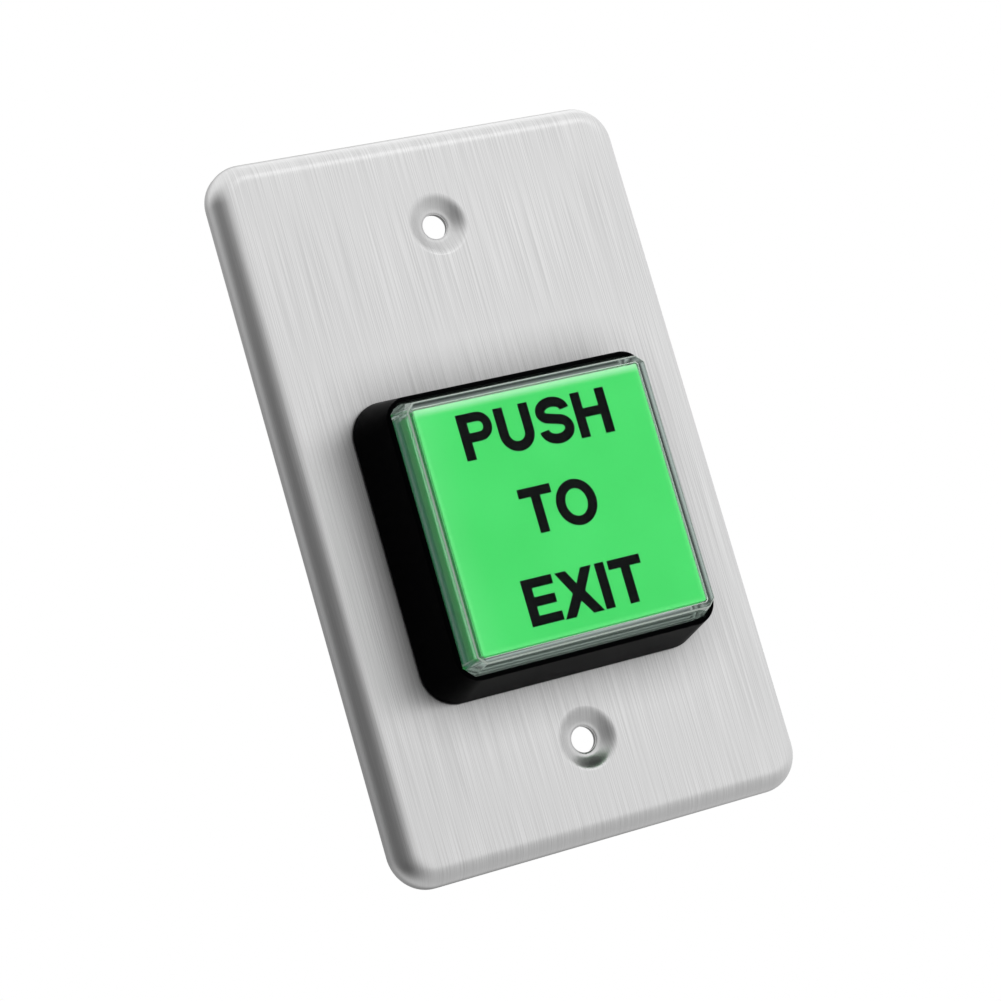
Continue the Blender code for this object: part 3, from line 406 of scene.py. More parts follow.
brassLook = workedMetal("stampedBrass", "#E0C389", "#D0AF6E", 0.27, (1, 30, 1))
copperLook = workedMetal("rolledBerylliumCopper", "#DDA27C", "#CB8E66", 0.25, (40, 1, 1))
silverLook = workedMetal("silverAlloy", "#E9E8E4", "#D6D5D1", 0.22)
resinLook = clearPlastic("castClearResin", "#E4F4E6", {"IOR": 1.52, "Roughness": 0.05})


# Face plate: one stainless sheet, pressed over its edge, with two sunk screw dimples

plate = {"sheet": 0.0009, "corner": 0.0062, "edge": 0.0035, "edgeSteps": 16, "cornerSteps": 20,
         "screwSpacing": 0.08334, "dimple": 0.0104, "sink": 0.0015, "dimpleSteps": 4, "dimpleSides": 72,
         "hole": 0.0040, "opening": 0.0242, "openingSides": 96, "flatBand": 0.0003}
# the dimple's section from its edge to its hole, as shares of that run and of the sink
dimpleSection = [(0.0, 0.0), (0.06, 0.0), (0.22, 0.13), (0.50, 0.52), (0.78, 0.84), (0.92, 0.91), (0.98, 1.0),
                 (1.0, 1.0)]


def plateEdgeRings():
    # rings from the wall round to the flat face, each with its reach along the sheet past the flat face
    front, halfX, halfZ = plateBox[0].y, plateBox[1].x, plateBox[1].z
    edge, corner, steps = plate["edge"], plate["corner"], plate["cornerSteps"]

    def ring(inset, y):
        return cornerRing(halfX - inset, halfZ - inset, corner - inset, y, steps)

    rings = [(ring(0.0, 0.0), edge * math.pi / 2 - front - edge)]
    for i, (inset, y) in enumerate(quarterTurn(plate["edgeSteps"], 0.0, front, edge)):
        rings.append((ring(inset, y), edge * (1 - i / plate["edgeSteps"]) * math.pi / 2))
    return rings + [(ring(edge + plate["flatBand"], front), -plate["flatBand"])]


def dimpleRings(z):
    # a pressed funnel: a round shoulder, an even slope, and a lip turned down into the hole
    front, outer, sides, steps = plateBox[0].y, plate["dimple"] / 2, plate["dimpleSides"], plate["dimpleSteps"]
    bends = [Vector(point) for point in dimpleSection]
    section = [bends[0]]
    for before, bend, after in zip(bends, bends[1:], bends[2:]):
        section += [bendPoint((before + bend) / 2, bend, (bend + after) / 2, i / steps) for i in range(steps)]
    section.append(bends[-1])
    rings = [roundRing(outer + plate["flatBand"], front, sides, (0.0, z))]
    for run, drop in section:
        radius = outer + (plate["hole"] / 2 - outer) * run
        rings.append(roundRing(radius, front + plate["sink"] * drop, sides, (0.0, z)))
    return rings


def makeFacePlate():
    bm = bmesh.new()
    reach = bm.verts.layers.float.new("reach")
    edgeRings = plateEdgeRings()
    loops = skin(bm, [ring for ring, _ in edgeRings], capped=False)
    for loop, (_, past) in zip(loops, edgeRings):
        for vert in loop:
            vert[reach] = past
    borders = [loops[-1]]
    for z in (plate["screwSpacing"] / 2, -plate["screwSpacing"] / 2):
        borders.append(skin(bm, dimpleRings(z), capped=False)[0])
    opening = roundRing(plate["opening"] / 2, plateBox[0].y, plate["openingSides"], (0.0, buttonAxis.z))
    borders.append([bm.verts.new(point) for point in opening])
    edges = []
    for border in borders:
        for i, vert in enumerate(border):
            partner = border[(i + 1) % len(border)]
            edges.append(bm.edges.get((vert, partner)) or bm.edges.new((vert, partner)))
    bmesh.ops.triangle_fill(bm, use_beauty=True, edges=edges)
    bmesh.ops.recalc_face_normals(bm, faces=bm.faces)
    if min(bm.faces, key=lambda face: face.calc_center_median().y).normal.y > 0:
        bmesh.ops.reverse_faces(bm, faces=bm.faces)
    # the sheet's own flat coordinates, so that the brushing runs over the pressed edges as it does on steel
    sheet = bm.loops.layers.uv.new("sheet")
    inner = Vector((plateBox[1].x - plate["corner"], plateBox[1].z - plate["corner"]))
    rim = plate["corner"] - plate["edge"]
    for face in bm.faces:
        for loop in face.loops:
            co = loop.vert.co
            flat = Vector((co.x, co.z))
            past = loop.vert[reach]
            if past:
                core = Vector((max(-inner.x, min(inner.x, co.x)), max(-inner.y, min(inner.y, co.z))))
                flat = core + (flat - core).normalized() * (rim + past)
            loop[sheet].uv = flat
    piece = meshFrom("facePlate", bm, steelLook, turnOut=False)
    piece.data.attributes.remove(piece.data.attributes["reach"])
    wall = piece.modifiers.new("sheet", "SOLIDIFY")
    wall.thickness = plate["sheet"]
    wall.offset = -1.0
    wall.use_even_offset = True
    applyModifiers(piece)
    piece.data.set_sharp_from_angle(angle=math.radians(35))
    place(piece, "housing", "plate_steel", "face_plate")


makeFacePlate()
print("face plate")


# Bezel: black moulding with a leaning square rim, a floor, and the threaded barrel behind it

bezel = {"lean": 0.0018, "corner": 0.0055, "lip": 0.0005, "lipSteps": 6, "cornerSteps": 23, "foot": 0.0003,
         "floor": 0.0020, "clearance": 0.0003}
barrel = {"width": 0.0236, "wall": 0.0020, "neck": 0.0023, "pitch": 0.0015, "threadDepth": 0.00035,
          "ringsPerTurn": 12, "leadIn": 0.0006, "seatFront": 0.0098, "seatBack": 0.0110, "seatRim": 0.0017,
          "windowFront": -0.0013, "windowBack": 0.0038, "windowHalf": 0.0020,
          "lockWidth": 0.0036, "lockFront": 0.0129, "lockBack": 0.0153, "lockTurn": math.radians(26)}
cap = {"lean": 0.0008, "corner": 0.0016, "cornerFront": 0.0010, "soft": 0.0004, "softSteps": 5, "round": 0.0004,
       "roundSteps": 6, "face": 0.0007, "wall": 0.0017, "insideCorner": 0.0004, "insideEdge": 0.00008,
       "frosted": (0.35, 0.85)}
cutPast = 0.001  # how far a cutter reaches past what it cuts


def capRing(inset, y, extra=0.0):
    half = capBox[1].x - inset + extra
    share = inset / (cap["lean"] + cap["round"])
    corner = cap["corner"] + (cap["cornerFront"] - cap["corner"]) * share
    return easedRing(cornerRing(half, half, corner, y, 1), cap["soft"], cap["softSteps"])


def threadRadius(point, y, base, depth, start, end):
    # a rounded screw thread that fades out at its start and end
    angle = math.atan2(point.z, point.x)
    phase = y / barrel["pitch"] - angle / (2 * math.pi)
    wave = max(0.0, min(1.0, 0.5 - 0.85 * math.cos(2 * math.pi * phase)))
    fade = max(0.0, min(1.0, (y - start) / barrel["pitch"], (end - y) / barrel["pitch"]))
    return base - depth * wave * fade


def makeBezel():
    front, back, half = bezelBox[0].y, bezelBox[1].y, bezelBox[1].x
    base = plateBox[0].y - bezel["clearance"]
    floor = base - bezel["floor"]
    foot, steps = bezel["foot"], bezel["cornerSteps"]
    count = 4 * (steps + 1)
    radius = barrel["width"] / 2
    bore = radius - barrel["wall"]
    seat = bore - barrel["seatRim"]
    neckEnd, threadEnd = -barrel["neck"], back - barrel["leadIn"]

    def outer(inset, y):
        return cornerRing(half - inset, half - inset, bezel["corner"] - inset, y, steps)

    def threaded(point):
        return threadRadius(point, y, radius, barrel["threadDepth"], neckEnd, threadEnd)

    rings = [outer(foot, base), outer(foot * 0.3, base - foot * 0.3), outer(0.0, base - foot)]
    rings += [outer(inset, y) for inset, y in quarterTurn(bezel["lipSteps"], bezel["lean"], front, bezel["lip"])]
    rings.reverse()
    rings.append(roundRing(radius, base, count))
    y, span = base, barrel["pitch"] / barrel["ringsPerTurn"]
    while y < threadEnd - span:
        y = max(y + span, neckEnd)
        rings.append(shapedRing(threaded, y, count))
    rings += [roundRing(size, depth, count) for size, depth in (
        (radius, threadEnd), (radius - barrel["leadIn"], back), (bore, back), (bore, barrel["seatBack"]),
        (seat, barrel["seatBack"]), (seat, barrel["seatFront"]), (bore, barrel["seatFront"]),
        (bore, floor - foot))]
    piece = skinned("bezelHousing", rings, bezelLook)
    cavity = skinned("cavityCutter", [capRing(0.0, front - cutPast, bezel["clearance"]),
                                      capRing(0.0, floor, bezel["clearance"])])
    windows = boxCutter("windowCutter", (-radius - cutPast, barrel["windowFront"], -barrel["windowHalf"]),
                        (radius + cutPast, barrel["windowBack"], barrel["windowHalf"]))
    cutters = [cavity, windows]
    halfLock = barrel["lockWidth"] / 2
    for number in range(2):
        side = math.pi / 2 + number * math.pi
        # the entry starts a hair behind the lock's front and is a hair longer, so that no two cuts share a face
        cutters.append(boxCutter("entryCutter%d" % number,
                                 (bore - cutPast * 1.2, barrel["lockFront"] + 0.00003, -halfLock),
                                 (radius + cutPast * 1.2, back + cutPast, halfLock), side + barrel["lockTurn"]))
        cutters.append(boxCutter("lockCutter%d" % number, (bore - cutPast, barrel["lockFront"], -halfLock),
                                 (radius + cutPast, barrel["lockBack"],
                                  halfLock + bore * math.tan(barrel["lockTurn"])), side))
    cutAway(piece, cutters)
    shadeEdges(piece.data, 30)
    place(piece, "housing", "bezel_plastic", "bezel_housing")


makeBezel()
print("bezel and barrel")


# Clear cap over the legend

def makeCap():
    front, back, rim = capBox[0].y, capBox[1].y, bezelBox[0].y
    inside, edge = capBox[1].x - cap["wall"], cap["insideEdge"]

    def insideRing(inset, y):
        ring = cornerRing(inside - inset, inside - inset, cap["insideCorner"], y, 1)
        return easedRing(ring, cap["insideCorner"] / 2, cap["softSteps"])

    rings = [insideRing(edge, front + cap["face"]), insideRing(0.0, front + cap["face"] + edge),
             insideRing(0.0, back), capRing(0.0, back), capRing(0.0, rim)]
    rings += [capRing(inset, y) for inset, y in quarterTurn(cap["roundSteps"], cap["lean"], front, cap["round"])]
    piece = skinned("clearCap", rings, capLook)
    # the front is coated against glare and the walls are bare; their foot glows with painted light that stands for
    # the light round the tray, and the middle of the front's rounded edge is frosted, which draws the bright line
    # round the cap
    for look in (capWallLook, capFootLook, capEdgeLook):
        piece.data.materials.append(look)
    low, high = cap["frosted"]
    for face in piece.data.polygons:
        if face.center.y > back - 0.00001:
            face.material_index = 2
        elif face.center.y < front + cap["round"] and low < -face.normal.y < high:
            face.material_index = 3
        else:
            face.material_index = 0 if abs(face.normal.y) > 0.99 else 1
    place(piece, "plunger", "cap_clear", "lens_cap")


makeCap()
print("cap")


# Legend film and its words

legend = {"corner": 0.0003, "edge": 0.00008}
words = {"height": 0.0071, "stroke": 0.00156, "barShare": 0.92, "ink": 0.00004,
         "width": {"P": 0.00545, "U": 0.00575, "S": 0.0058, "H": 0.00575, "T": 0.00546, "O": 0.00672,
                   "E": 0.00530, "X": 0.00658, "I": 0.00156}}
# each letter with its lower left corner, measured from the button's axis
lettering = [("P", -0.01268, 0.00975), ("U", -0.00653, 0.00955), ("S", 0.00003, 0.00948), ("H", 0.00647, 0.00940),
             ("T", -0.00640, -0.00316), ("O", -0.00075, -0.00335),
             ("E", -0.00998, -0.01647), ("X", -0.00448, -0.01658), ("I", 0.00242, -0.01656),
             ("T", 0.00457, -0.01662)]


def makeLegend():
    front, back, half, edge = legendBox[0].y, legendBox[1].y, legendBox[1].x, legend["edge"]
    rings = [cornerRing(half - inset, half - inset, legend["corner"], y, 4) for inset, y in (
        (edge, front), (0.0, front + edge), (0.0, back - edge), (edge, back))]
    place(skinned("legendFilm", rings, legendLook), "plunger", "legend_green", "legend_insert")


def arc(middleX, middleZ, radiusX, radiusZ, start, end, steps=14):
    angles = [math.radians(start + (end - start) * i / steps) for i in range(steps + 1)]
    return [(middleX + radiusX * math.cos(angle), middleZ + radiusZ * math.sin(angle)) for angle in angles]


def strokeOutline(line, width):
    # a centre line given its width, with square ends
    left, right = [], []
    for i, (x, z) in enumerate(line):
        ax, az = line[max(i - 1, 0)]
        bx, bz = line[min(i + 1, len(line) - 1)]
        length = math.hypot(bx - ax, bz - az)
        sideX, sideZ = -(bz - az) / length * width / 2, (bx - ax) / length * width / 2
        left.append((x + sideX, z + sideZ))
        right.append((x - sideX, z - sideZ))
    return left + right[::-1]


def letterOutlines(letter):
    # the outlines of a plain bold capital from its lower left corner
    h, s, w = words["height"], words["stroke"], words["width"][letter]
    bar = s * words["barShare"]  # level strokes look even when they are a little thinner
    low = {"E": (h - bar) / 2, "P": h * 0.37}.get(letter, h * 0.43)  # the middle bar's lower edge
    halves = {"I": [(w, 0), (w, h)],
              "T": [((w + s) / 2, 0), ((w + s) / 2, h - bar), (w, h - bar), (w, h)],
              "H": [(w - s, low), (w - s, 0), (w, 0), (w, h), (w - s, h), (w - s, low + bar)]}
    if letter in halves:
        return [halves[letter] + [(w - x, z) for x, z in reversed(halves[letter])]]
    if letter == "E":
        return [[(0, 0), (w, 0), (w, bar), (s, bar), (s, low), (w * 0.93, low), (w * 0.93, low + bar),
                 (s, low + bar), (s, h - bar), (w * 0.97, h - bar), (w * 0.97, h), (0, h)]]
    if letter == "X":
        middle, waist, run, inset, notch, side = w / 2, h / 2, 0.00182, 0.0002, 0.00135, 0.00118 * 0.9
        return [[(0, 0), (run, 0), (middle, waist - notch), (w - run, 0), (w, 0), (middle + side, waist),
                 (w - inset, h), (w - inset - run, h), (middle, waist + notch), (inset + run, h), (inset, h),
                 (middle - side, waist)]]
    if letter == "U":
        outer, inner = w / 2, w / 2 - s
        return [[(0, h), (0, outer)] + arc(outer, outer, outer, outer, 180, 360)[1:-1] + [(w, outer), (w, h),
                (w - s, h), (w - s, outer)] + arc(outer, outer, inner, inner, 360, 180)[1:-1] + [(s, outer),
                (s, h)]]
    if letter == "P":
        outer = (h - low) / 2
        inner, middleX, middleZ = outer - bar, w - outer, low + outer
        return [[(0, 0), (s, 0), (s, low)] + arc(middleX, middleZ, outer, outer, -90, 90) + [(0, h)],
                [(s, middleZ + inner), (s, middleZ - inner)] + arc(middleX, middleZ, inner, inner, -90, 90)]
    if letter == "O":
        halfW, halfH = w / 2, h / 2 + 0.00003
        return [arc(halfW, h / 2, halfW, halfH, 0, 350, 35),
                arc(halfW, h / 2, halfW - s, halfH - s * 0.93, 350, 0, 35)]
    # S is one stroke round two bowls, which stand a hair past the other letters
    past = 0.0001
    upper, lower, reach = (h - s) * 0.245, (h - s) * 0.275, (w - s) / 2
    top, bottom = h + past - s / 2 - upper, s / 2 - past + lower
    line = arc(w / 2, top, reach * 0.96, upper, 0, 225, 18) + arc(w / 2, bottom, reach, lower, 55, -180, 20)
    return [strokeOutline(line, s)]


def makeWords():
    curve = bpy.data.curves.new("legendWords", "CURVE")
    curve.dimensions = "2D"
    curve.fill_mode = "BOTH"
    curve.extrude = words["ink"] / 2
    for letter, x, z in lettering:
        for outline in letterOutlines(letter):
            spline = curve.splines.new("POLY")
            spline.points.add(len(outline) - 1)
            for point, (px, pz) in zip(spline.points, outline):
                point.co = (x + px, z + pz, 0.0, 1.0)
            spline.use_cyclic_u = True
    drawn = bpy.data.objects.new("legendWordsCurve", curve)
    scene.collection.objects.link(drawn)
    mesh = plainMesh(drawn)
    bpy.data.objects.remove(drawn)
    mesh.transform(Matrix.Translation(buttonAxis + Vector((0.0, legendBox[0].y - words["ink"] / 4, 0.0)))
                   @ Matrix.Rotation(math.pi / 2, 4, "X"))
    bm = bmesh.new()
    bm.from_mesh(mesh)
    bmesh.ops.remove_doubles(bm, verts=bm.verts, dist=1e-7)
    bpy.data.meshes.remove(mesh)
    place(meshFrom("legendWords", bm, inkLook), "plunger", "legend_green")


makeLegend()
makeWords()
print("legend and words")


# Return spring, coiled by a node tree along a helix whose end turns lie close

spring = {"wire": 0.0008, "turns": 5.0, "endPitch": 0.00095, "stepsPerTurn": 48, "sides": 16, "travel": 0.0025}


def newTree(name, inputs):
    # a geometry tree with named inputs for its sizes and its material
    tree = bpy.data.node_groups.new(name, "GeometryNodeTree")
    for label, kind in {"Geometry": "Geometry", **inputs, "Material": "Material"}.items():
        tree.interface.new_socket(label, in_out="INPUT", socket_type="NodeSocket" + kind)
    tree.interface.new_socket("Geometry", in_out="OUTPUT", socket_type="NodeSocketGeometry")
    add = partial(addNode, tree)
    return tree, add, add("GroupInput").outputs


def finishTree(tree, add, given, shape):
    real = add("RealizeInstances", {0: shape})
    coated = add("SetMaterial", {"Geometry": real, "Material": given["Material"]})
    add("GroupOutput", {0: coated})
    return tree


def fromTree(name, tree, values, move):
    # runs a node tree with its named inputs set, and keeps the result as a plain mesh
    piece = newObject(name, bpy.data.meshes.new(name))
    step = piece.modifiers.new(name, "NODES")
    step.node_group = tree
    for item in tree.interface.items_tree:
        if item.item_type == "SOCKET" and item.in_out == "INPUT" and item.name in values:
            step[item.identifier] = values[item.name]
    applyModifiers(piece)
    piece.data.transform(Matrix.Translation(buttonAxis + Vector(move)))
    return piece


def roundPoint(add, angle, radius):
    # a point's x and z on a circle round the axis
    return [add("Math", "MULTIPLY", {0: add("Math", wave, {0: angle}), 1: radius}) for wave in ("COSINE", "SINE")]


def coilTree():
    tree, add, given = newTree("coilFromSizes",
                               {"Radius": "Float", "Wire": "Float", "Turns": "Float", "Length": "Float",
                                "End Pitch": "Float", "Points": "Int", "Sides": "Int"})
    line = add("MeshLine", {"Count": given["Points"]})
    last = add("Math", "SUBTRACT", {0: given["Points"], 1: 1.0})
    share = add("Math", "DIVIDE", {0: add("InputIndex"), 1: last})
    turn = add("Math", "MULTIPLY", {0: share, 1: given["Turns"]})
    angle = add("Math", "MULTIPLY", {0: turn, 1: 2 * math.pi})
    x, z = roundPoint(add, angle, given["Radius"])
    # the depth is the close end turns' own, and an even rise over the turns between them
    inner = add("Math", "SUBTRACT", {0: given["Turns"], 1: 2.0})
    ends = add("Math", "MULTIPLY", {0: given["End Pitch"], 1: 2.0})
    free = add("Math", "SUBTRACT", {0: given["Length"], 1: ends})
    rise = add("Math", "DIVIDE", {0: free, 1: inner})
    past = add("Math", "SUBTRACT", {0: turn, 1: 1.0})
    floor = add("Math", "MAXIMUM", {0: past, 1: 0.0})
    middle = add("Math", "MINIMUM", {0: floor, 1: inner})
    close = add("Math", "SUBTRACT", {0: turn, 1: middle})
    closeDepth = add("Math", "MULTIPLY", {0: close, 1: given["End Pitch"]})
    depth = add("Math", "MULTIPLY_ADD", {0: middle, 1: rise, 2: closeDepth})
    spot = add("CombineXYZ", {0: x, 1: depth, 2: z})
    moved = add("SetPosition", {"Geometry": line, "Position": spot})
    path = add("MeshToCurve", {"Mesh": moved})
    half = add("Math", "MULTIPLY", {0: given["Wire"], 1: 0.5})
    section = add("CurvePrimitiveCircle", {"Resolution": given["Sides"], "Radius": half})
    swept = add("CurveToMesh", {"Fill Caps": True, "Curve": path, "Profile Curve": section})
    return finishTree(tree, add, given, add("SetShadeSmooth", {0: swept}))


def makeSpring():
    low, high = springBox
    wire, rest = spring["wire"], springBox[1].y - springBox[0].y
    piece = fromTree("returnSpring", coilTree(), {
        "Radius": (high.x - low.x - wire) / 2, "Wire": wire, "Turns": spring["turns"], "Length": rest - wire,
        "End Pitch": spring["endPitch"], "Points": int(spring["turns"] * spring["stepsPerTurn"]) + 1,
        "Sides": spring["sides"], "Material": springLook}, (0.0, low.y + wire / 2, 0.0))
    place(piece, "housing", "spring_wire", "return_spring")
    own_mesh(piece)


makeSpring()
print("spring")


# Nut: ribbed grip by a node tree round a lobed body, with a thread that meets the barrel's

nut = {"bore": 0.0121, "wall": 0.00465, "lobes": 12, "lobeDepth": 0.0007, "chamfer": 0.0008, "soft": 0.0002,
       "sides": 144, "threadDepth": 0.0002, "ribs": 96, "ribWidth": 0.00042, "ribStands": 0.00022,
       "ribEnd": 0.0006}


def makeNutBody():
    front, back, sides, chamfer = nutBox[0].y, nutBox[1].y, nut["sides"], nut["chamfer"]
    bore, soft = nut["bore"], nut["soft"]
    start, end = front + chamfer / 2, back - chamfer

    def lobed(inset, y):
        def radiusAt(point):
            groove = max(0.0, math.cos(nut["lobes"] * math.atan2(point.z, point.x))) ** 2
            return bore + nut["wall"] - nut["ribStands"] - nut["lobeDepth"] * groove - inset
        return shapedRing(radiusAt, y, sides)

    def threaded(point):
        return threadRadius(point, y, bore, nut["threadDepth"], start, end)

    rings = [roundRing(bore + chamfer / 2, front, sides), lobed(soft, front), lobed(0.0, front + soft),
             lobed(0.0, end), lobed(chamfer * 0.4, back - chamfer * 0.35), lobed(chamfer, back),
             roundRing(bore + chamfer, back, sides), roundRing(bore, end, sides)]
    y, span = end, barrel["pitch"] / barrel["ringsPerTurn"]
    while y > start + span:
        y -= span
        rings.append(shapedRing(threaded, y, sides))
    rings.append(roundRing(bore, start, sides))
    place(skinned("nutBody", rings, nutLook, joined=True), "housing", "nut_plastic", "barrel_nut")


def ribTree():
    # half-round ribs that stand on a lobed ring
    tree, add, given = newTree("ribsRoundLobes",
                               {"Count": "Int", "Lobes": "Float", "Radius": "Float", "Lobe Depth": "Float",
                                "Rib Radius": "Float", "Rib Length": "Float"})
    line = add("MeshLine", {"Count": given["Count"]})
    share = add("Math", "DIVIDE", {0: add("InputIndex"), 1: given["Count"]})
    angle = add("Math", "MULTIPLY", {0: share, 1: 2 * math.pi})
    lobeAngle = add("Math", "MULTIPLY", {0: angle, 1: given["Lobes"]})
    wave = add("Math", "COSINE", {0: lobeAngle})
    hollow = add("Math", "MAXIMUM", {0: wave, 1: 0.0})
    groove = add("Math", "MULTIPLY", {0: hollow, 1: hollow})
    drop = add("Math", "MULTIPLY", {0: groove, 1: given["Lobe Depth"]})
    radius = add("Math", "SUBTRACT", {0: given["Radius"], 1: drop})
    x, z = roundPoint(add, angle, radius)
    spot = add("CombineXYZ", {0: x, 2: z})
    moved = add("SetPosition", {"Geometry": line, "Position": spot})
    rib = add("MeshCylinder", {"Vertices": 10, "Radius": given["Rib Radius"], "Depth": given["Rib Length"]})
    turned = add("Transform", {"Rotation": (math.pi / 2, 0.0, 0.0), 0: rib})
    return finishTree(tree, add, given, add("InstanceOnPoints", {"Points": moved, "Instance": turned}))


def makeNutRibs():
    low, high = nutBox[0].y + nut["ribEnd"], nutBox[1].y - nut["chamfer"] - nut["ribEnd"]
    piece = fromTree("nutGripRibs", ribTree(), {
        "Count": nut["ribs"], "Lobes": float(nut["lobes"]), "Lobe Depth": nut["lobeDepth"],
        "Radius": nut["bore"] + nut["wall"] - nut["ribWidth"], "Rib Radius": nut["ribWidth"],
        "Rib Length": high - low, "Material": nutLook}, (0.0, (low + high) / 2, 0.0))
    shadeEdges(piece.data, 50)
    place(piece, "housing", "nut_plastic")


makeNutBody()
makeNutRibs()
print("nut")


# Small moulded details on the lamp holder: ribs on its side plate, and the pegs' heads melted over the switch

holder = {"ribTop": 0.00105, "ribHeight": 0.0004, "ribWidth": 0.0009, "ribFront": 0.0285, "ribBack": 0.0375,
          "firstRib": -0.0136, "ribStep": 0.0043, "ribCount": 5, "pegs": ((-0.01575, 0.02717), (0.00645, 0.03747)),
          "headRadius": 0.0021, "headHeight": 0.0007, "headSides": 40, "headSteps": 8}


def ribRow():
    # a row of low ribs: each is a block, cut finely and smoothed until its edges and ends are round
    tree, add, given = newTree("ribsInARow",
                               {"Count": "Int", "Step": "Float", "Width": "Float", "Height": "Float",
                                "Length": "Float"})
    line = add("MeshLine", {"Count": given["Count"]})
    x = add("Math", "MULTIPLY", {0: add("InputIndex"), 1: given["Step"]})
    spot = add("CombineXYZ", {0: x})
    moved = add("SetPosition", {"Geometry": line, "Position": spot})
    size = add("CombineXYZ", {0: given["Width"], 1: given["Length"], 2: given["Height"]})
    block = add("MeshCube", {"Size": size})
    fine = add("SubdivideMesh", {"Level": 2, 0: block})
    soft = add("SubdivisionSurface", {"Level": 1, 0: fine})
    smooth = add("SetShadeSmooth", {0: soft})
    return finishTree(tree, add, given, add("InstanceOnPoints", {"Points": moved, "Instance": smooth}))


def makeHolderRibs():
    front, back = holder["ribFront"], holder["ribBack"]
    piece = fromTree("holderPlateRibs", ribRow(), {
        "Count": holder["ribCount"], "Step": holder["ribStep"], "Width": holder["ribWidth"],
        "Height": holder["ribHeight"] * 2, "Length": back - front, "Material": holderLook},
        (holder["firstRib"], (front + back) / 2, holder["ribTop"]))
    place(piece, "housing", "holder_grey")


def makePegHeads():
    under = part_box("switch_cover")[0].z
    bm = bmesh.new()
    for x, y in holder["pegs"]:
        rings = []
        for i in range(holder["headSteps"]):
            angle = i / holder["headSteps"] * math.pi / 2
            level = under - holder["headHeight"] * math.sin(angle)
            outline = roundRing(holder["headRadius"] * math.cos(angle), 0.0, holder["headSides"])
            rings.append([Vector((x + point.x, y + point.z, level)) for point in outline])
        skin(bm, rings)
    place(meshFrom("holderPegHeads", bm, holderLook, 50), "housing", "holder_grey")


makeHolderRibs()
makePegHeads()
print("holder details")


# CAD pieces whose shape is right get small moulded or stamped edges on a merged copy

eased = {
    "plunger": ("plungerTray", "plunger", "plunger_white", nylonLook, 0.00012),
    "diffuser": ("diffuserSheet", "plunger", "diffuser_milky", diffuserLook, 0.0001),
    "nut_washer": ("nutWasher", "housing", "washer_zinc", zincLook, 0.0001),
    "lamp_holder": ("lampHolder", "housing", "holder_grey", holderLook, 0.00012),
    "lamp_base": ("lampBase", "housing", "lamp_base_white", lampBaseLook, 0.0001),
    "lamp_dome": ("lampDome", "housing", "lamp_resin", resinLook, 0.00005),
    "lamp_tab_0": ("lampTabLeft", "housing", "tab_brass", brassLook, 0.00006),
    "lamp_tab_1": ("lampTabRight", "housing", "tab_brass", brassLook, 0.00006),
    "switch_case": ("switchCase", "housing", "case_black", caseLook, 0.0001),
    "switch_cover": ("switchCover", "housing", "cover_black", coverLook, 0.0001),
    "switch_lever": ("switchLever", "lever", "lever_steel", leverLook, 0.00006),
    "lever_pin": ("leverPin", "housing", "lever_steel", leverLook, 0.00008),
    "switch_button": ("switchButton", "switch_button", "button_red", buttonLook, 0.00006),
    "snap_blade": ("snapBlade", "blade", "blade_copper", copperLook, 0.00003),
    "moving_contact": ("movingContact", "blade", "contact_silver", silverLook, 0.00004),
    "closed_contact": ("closedContact", "housing", "contact_silver", silverLook, 0.00004),
    "open_contact": ("openContact", "housing", "contact_silver", silverLook, 0.00004),
    "blade_rivet": ("bladeRivet", "housing", "tab_brass", brassLook, 0.00005),
    "common_tab": ("commonTab", "housing", "tab_brass", brassLook, 0.00008),
    "closed_tab": ("closedTab", "housing", "tab_brass", brassLook, 0.00008),
    "open_tab": ("openTab", "housing", "tab_brass", brassLook, 0.00008),
}
easing = {"merge": 2e-6, "flat": math.radians(1), "corner": math.radians(32), "sharp": 40}

for node, (name, body, slot, look, width) in eased.items():
    bm = bmesh.new()
    bm.from_mesh(nodes[node].data)
    bmesh.ops.remove_doubles(bm, verts=bm.verts, dist=easing["merge"])
    bmesh.ops.dissolve_limit(bm, angle_limit=easing["flat"], verts=bm.verts, edges=bm.edges)
    edges = [edge for edge in bm.edges if len(edge.link_faces) == 2 and edge.calc_face_angle() > easing["corner"]]
    bmesh.ops.bevel(bm, geom=edges, offset=width, offset_type="OFFSET", segments=2, profile=0.5,
                    affect="EDGES", clamp_overlap=True)
    place(meshFrom(name, bm, look, easing["sharp"], turnOut=False), body, slot, node)
print("eased pieces")


# Studio: a pale floor, soft lamps, a white surround and the photograph's viewpoint

studio = {"floorZ": -0.30, "floorHalf": 4.0, "surround": 0.5, "floorInSteel": 0.6, "floorWhite": 0.6,
          "whiteFrom": 0.3, "whiteTo": 1.5}
lamps = {
    "keyLamp": {"place": (0.62, -0.62, 0.85), "size": 1.3, "watts": 4.4},
    "fillLamp": {"place": (0.45, -1.1, 0.25), "size": 1.0, "watts": 1.2},
}
# white cards that only reflections show: they light the steel's top edge, one from behind and one from the front
whiteCards = {
    "rearCard": {"place": (0.40, 0.27, 0.66), "size": 0.36, "strength": 1.3},
    "frontCard": {"place": (0.32, -0.62, 0.50), "size": 0.28, "strength": 1.5},
}
# black veils in one ball round the part, which only reflections show: left and below, and behind the wall
veils = {"radius": 0.27, "left": {"axis": (-0.94, -0.34, -0.14), "from": 0.33, "to": 0.87, "most": 0.85},
         "rear": {"axis": (0.0, 1.0, 0.0), "from": 0.40, "to": 0.85, "most": 0.72}}
photoCamera = {"place": (-0.178959, -0.396981, -0.056131), "turn": 24.168, "tilt": 7.035, "roll": 16.147,
               "focal": 101.31, "sensor": 36.0, "nearest": 0.01}


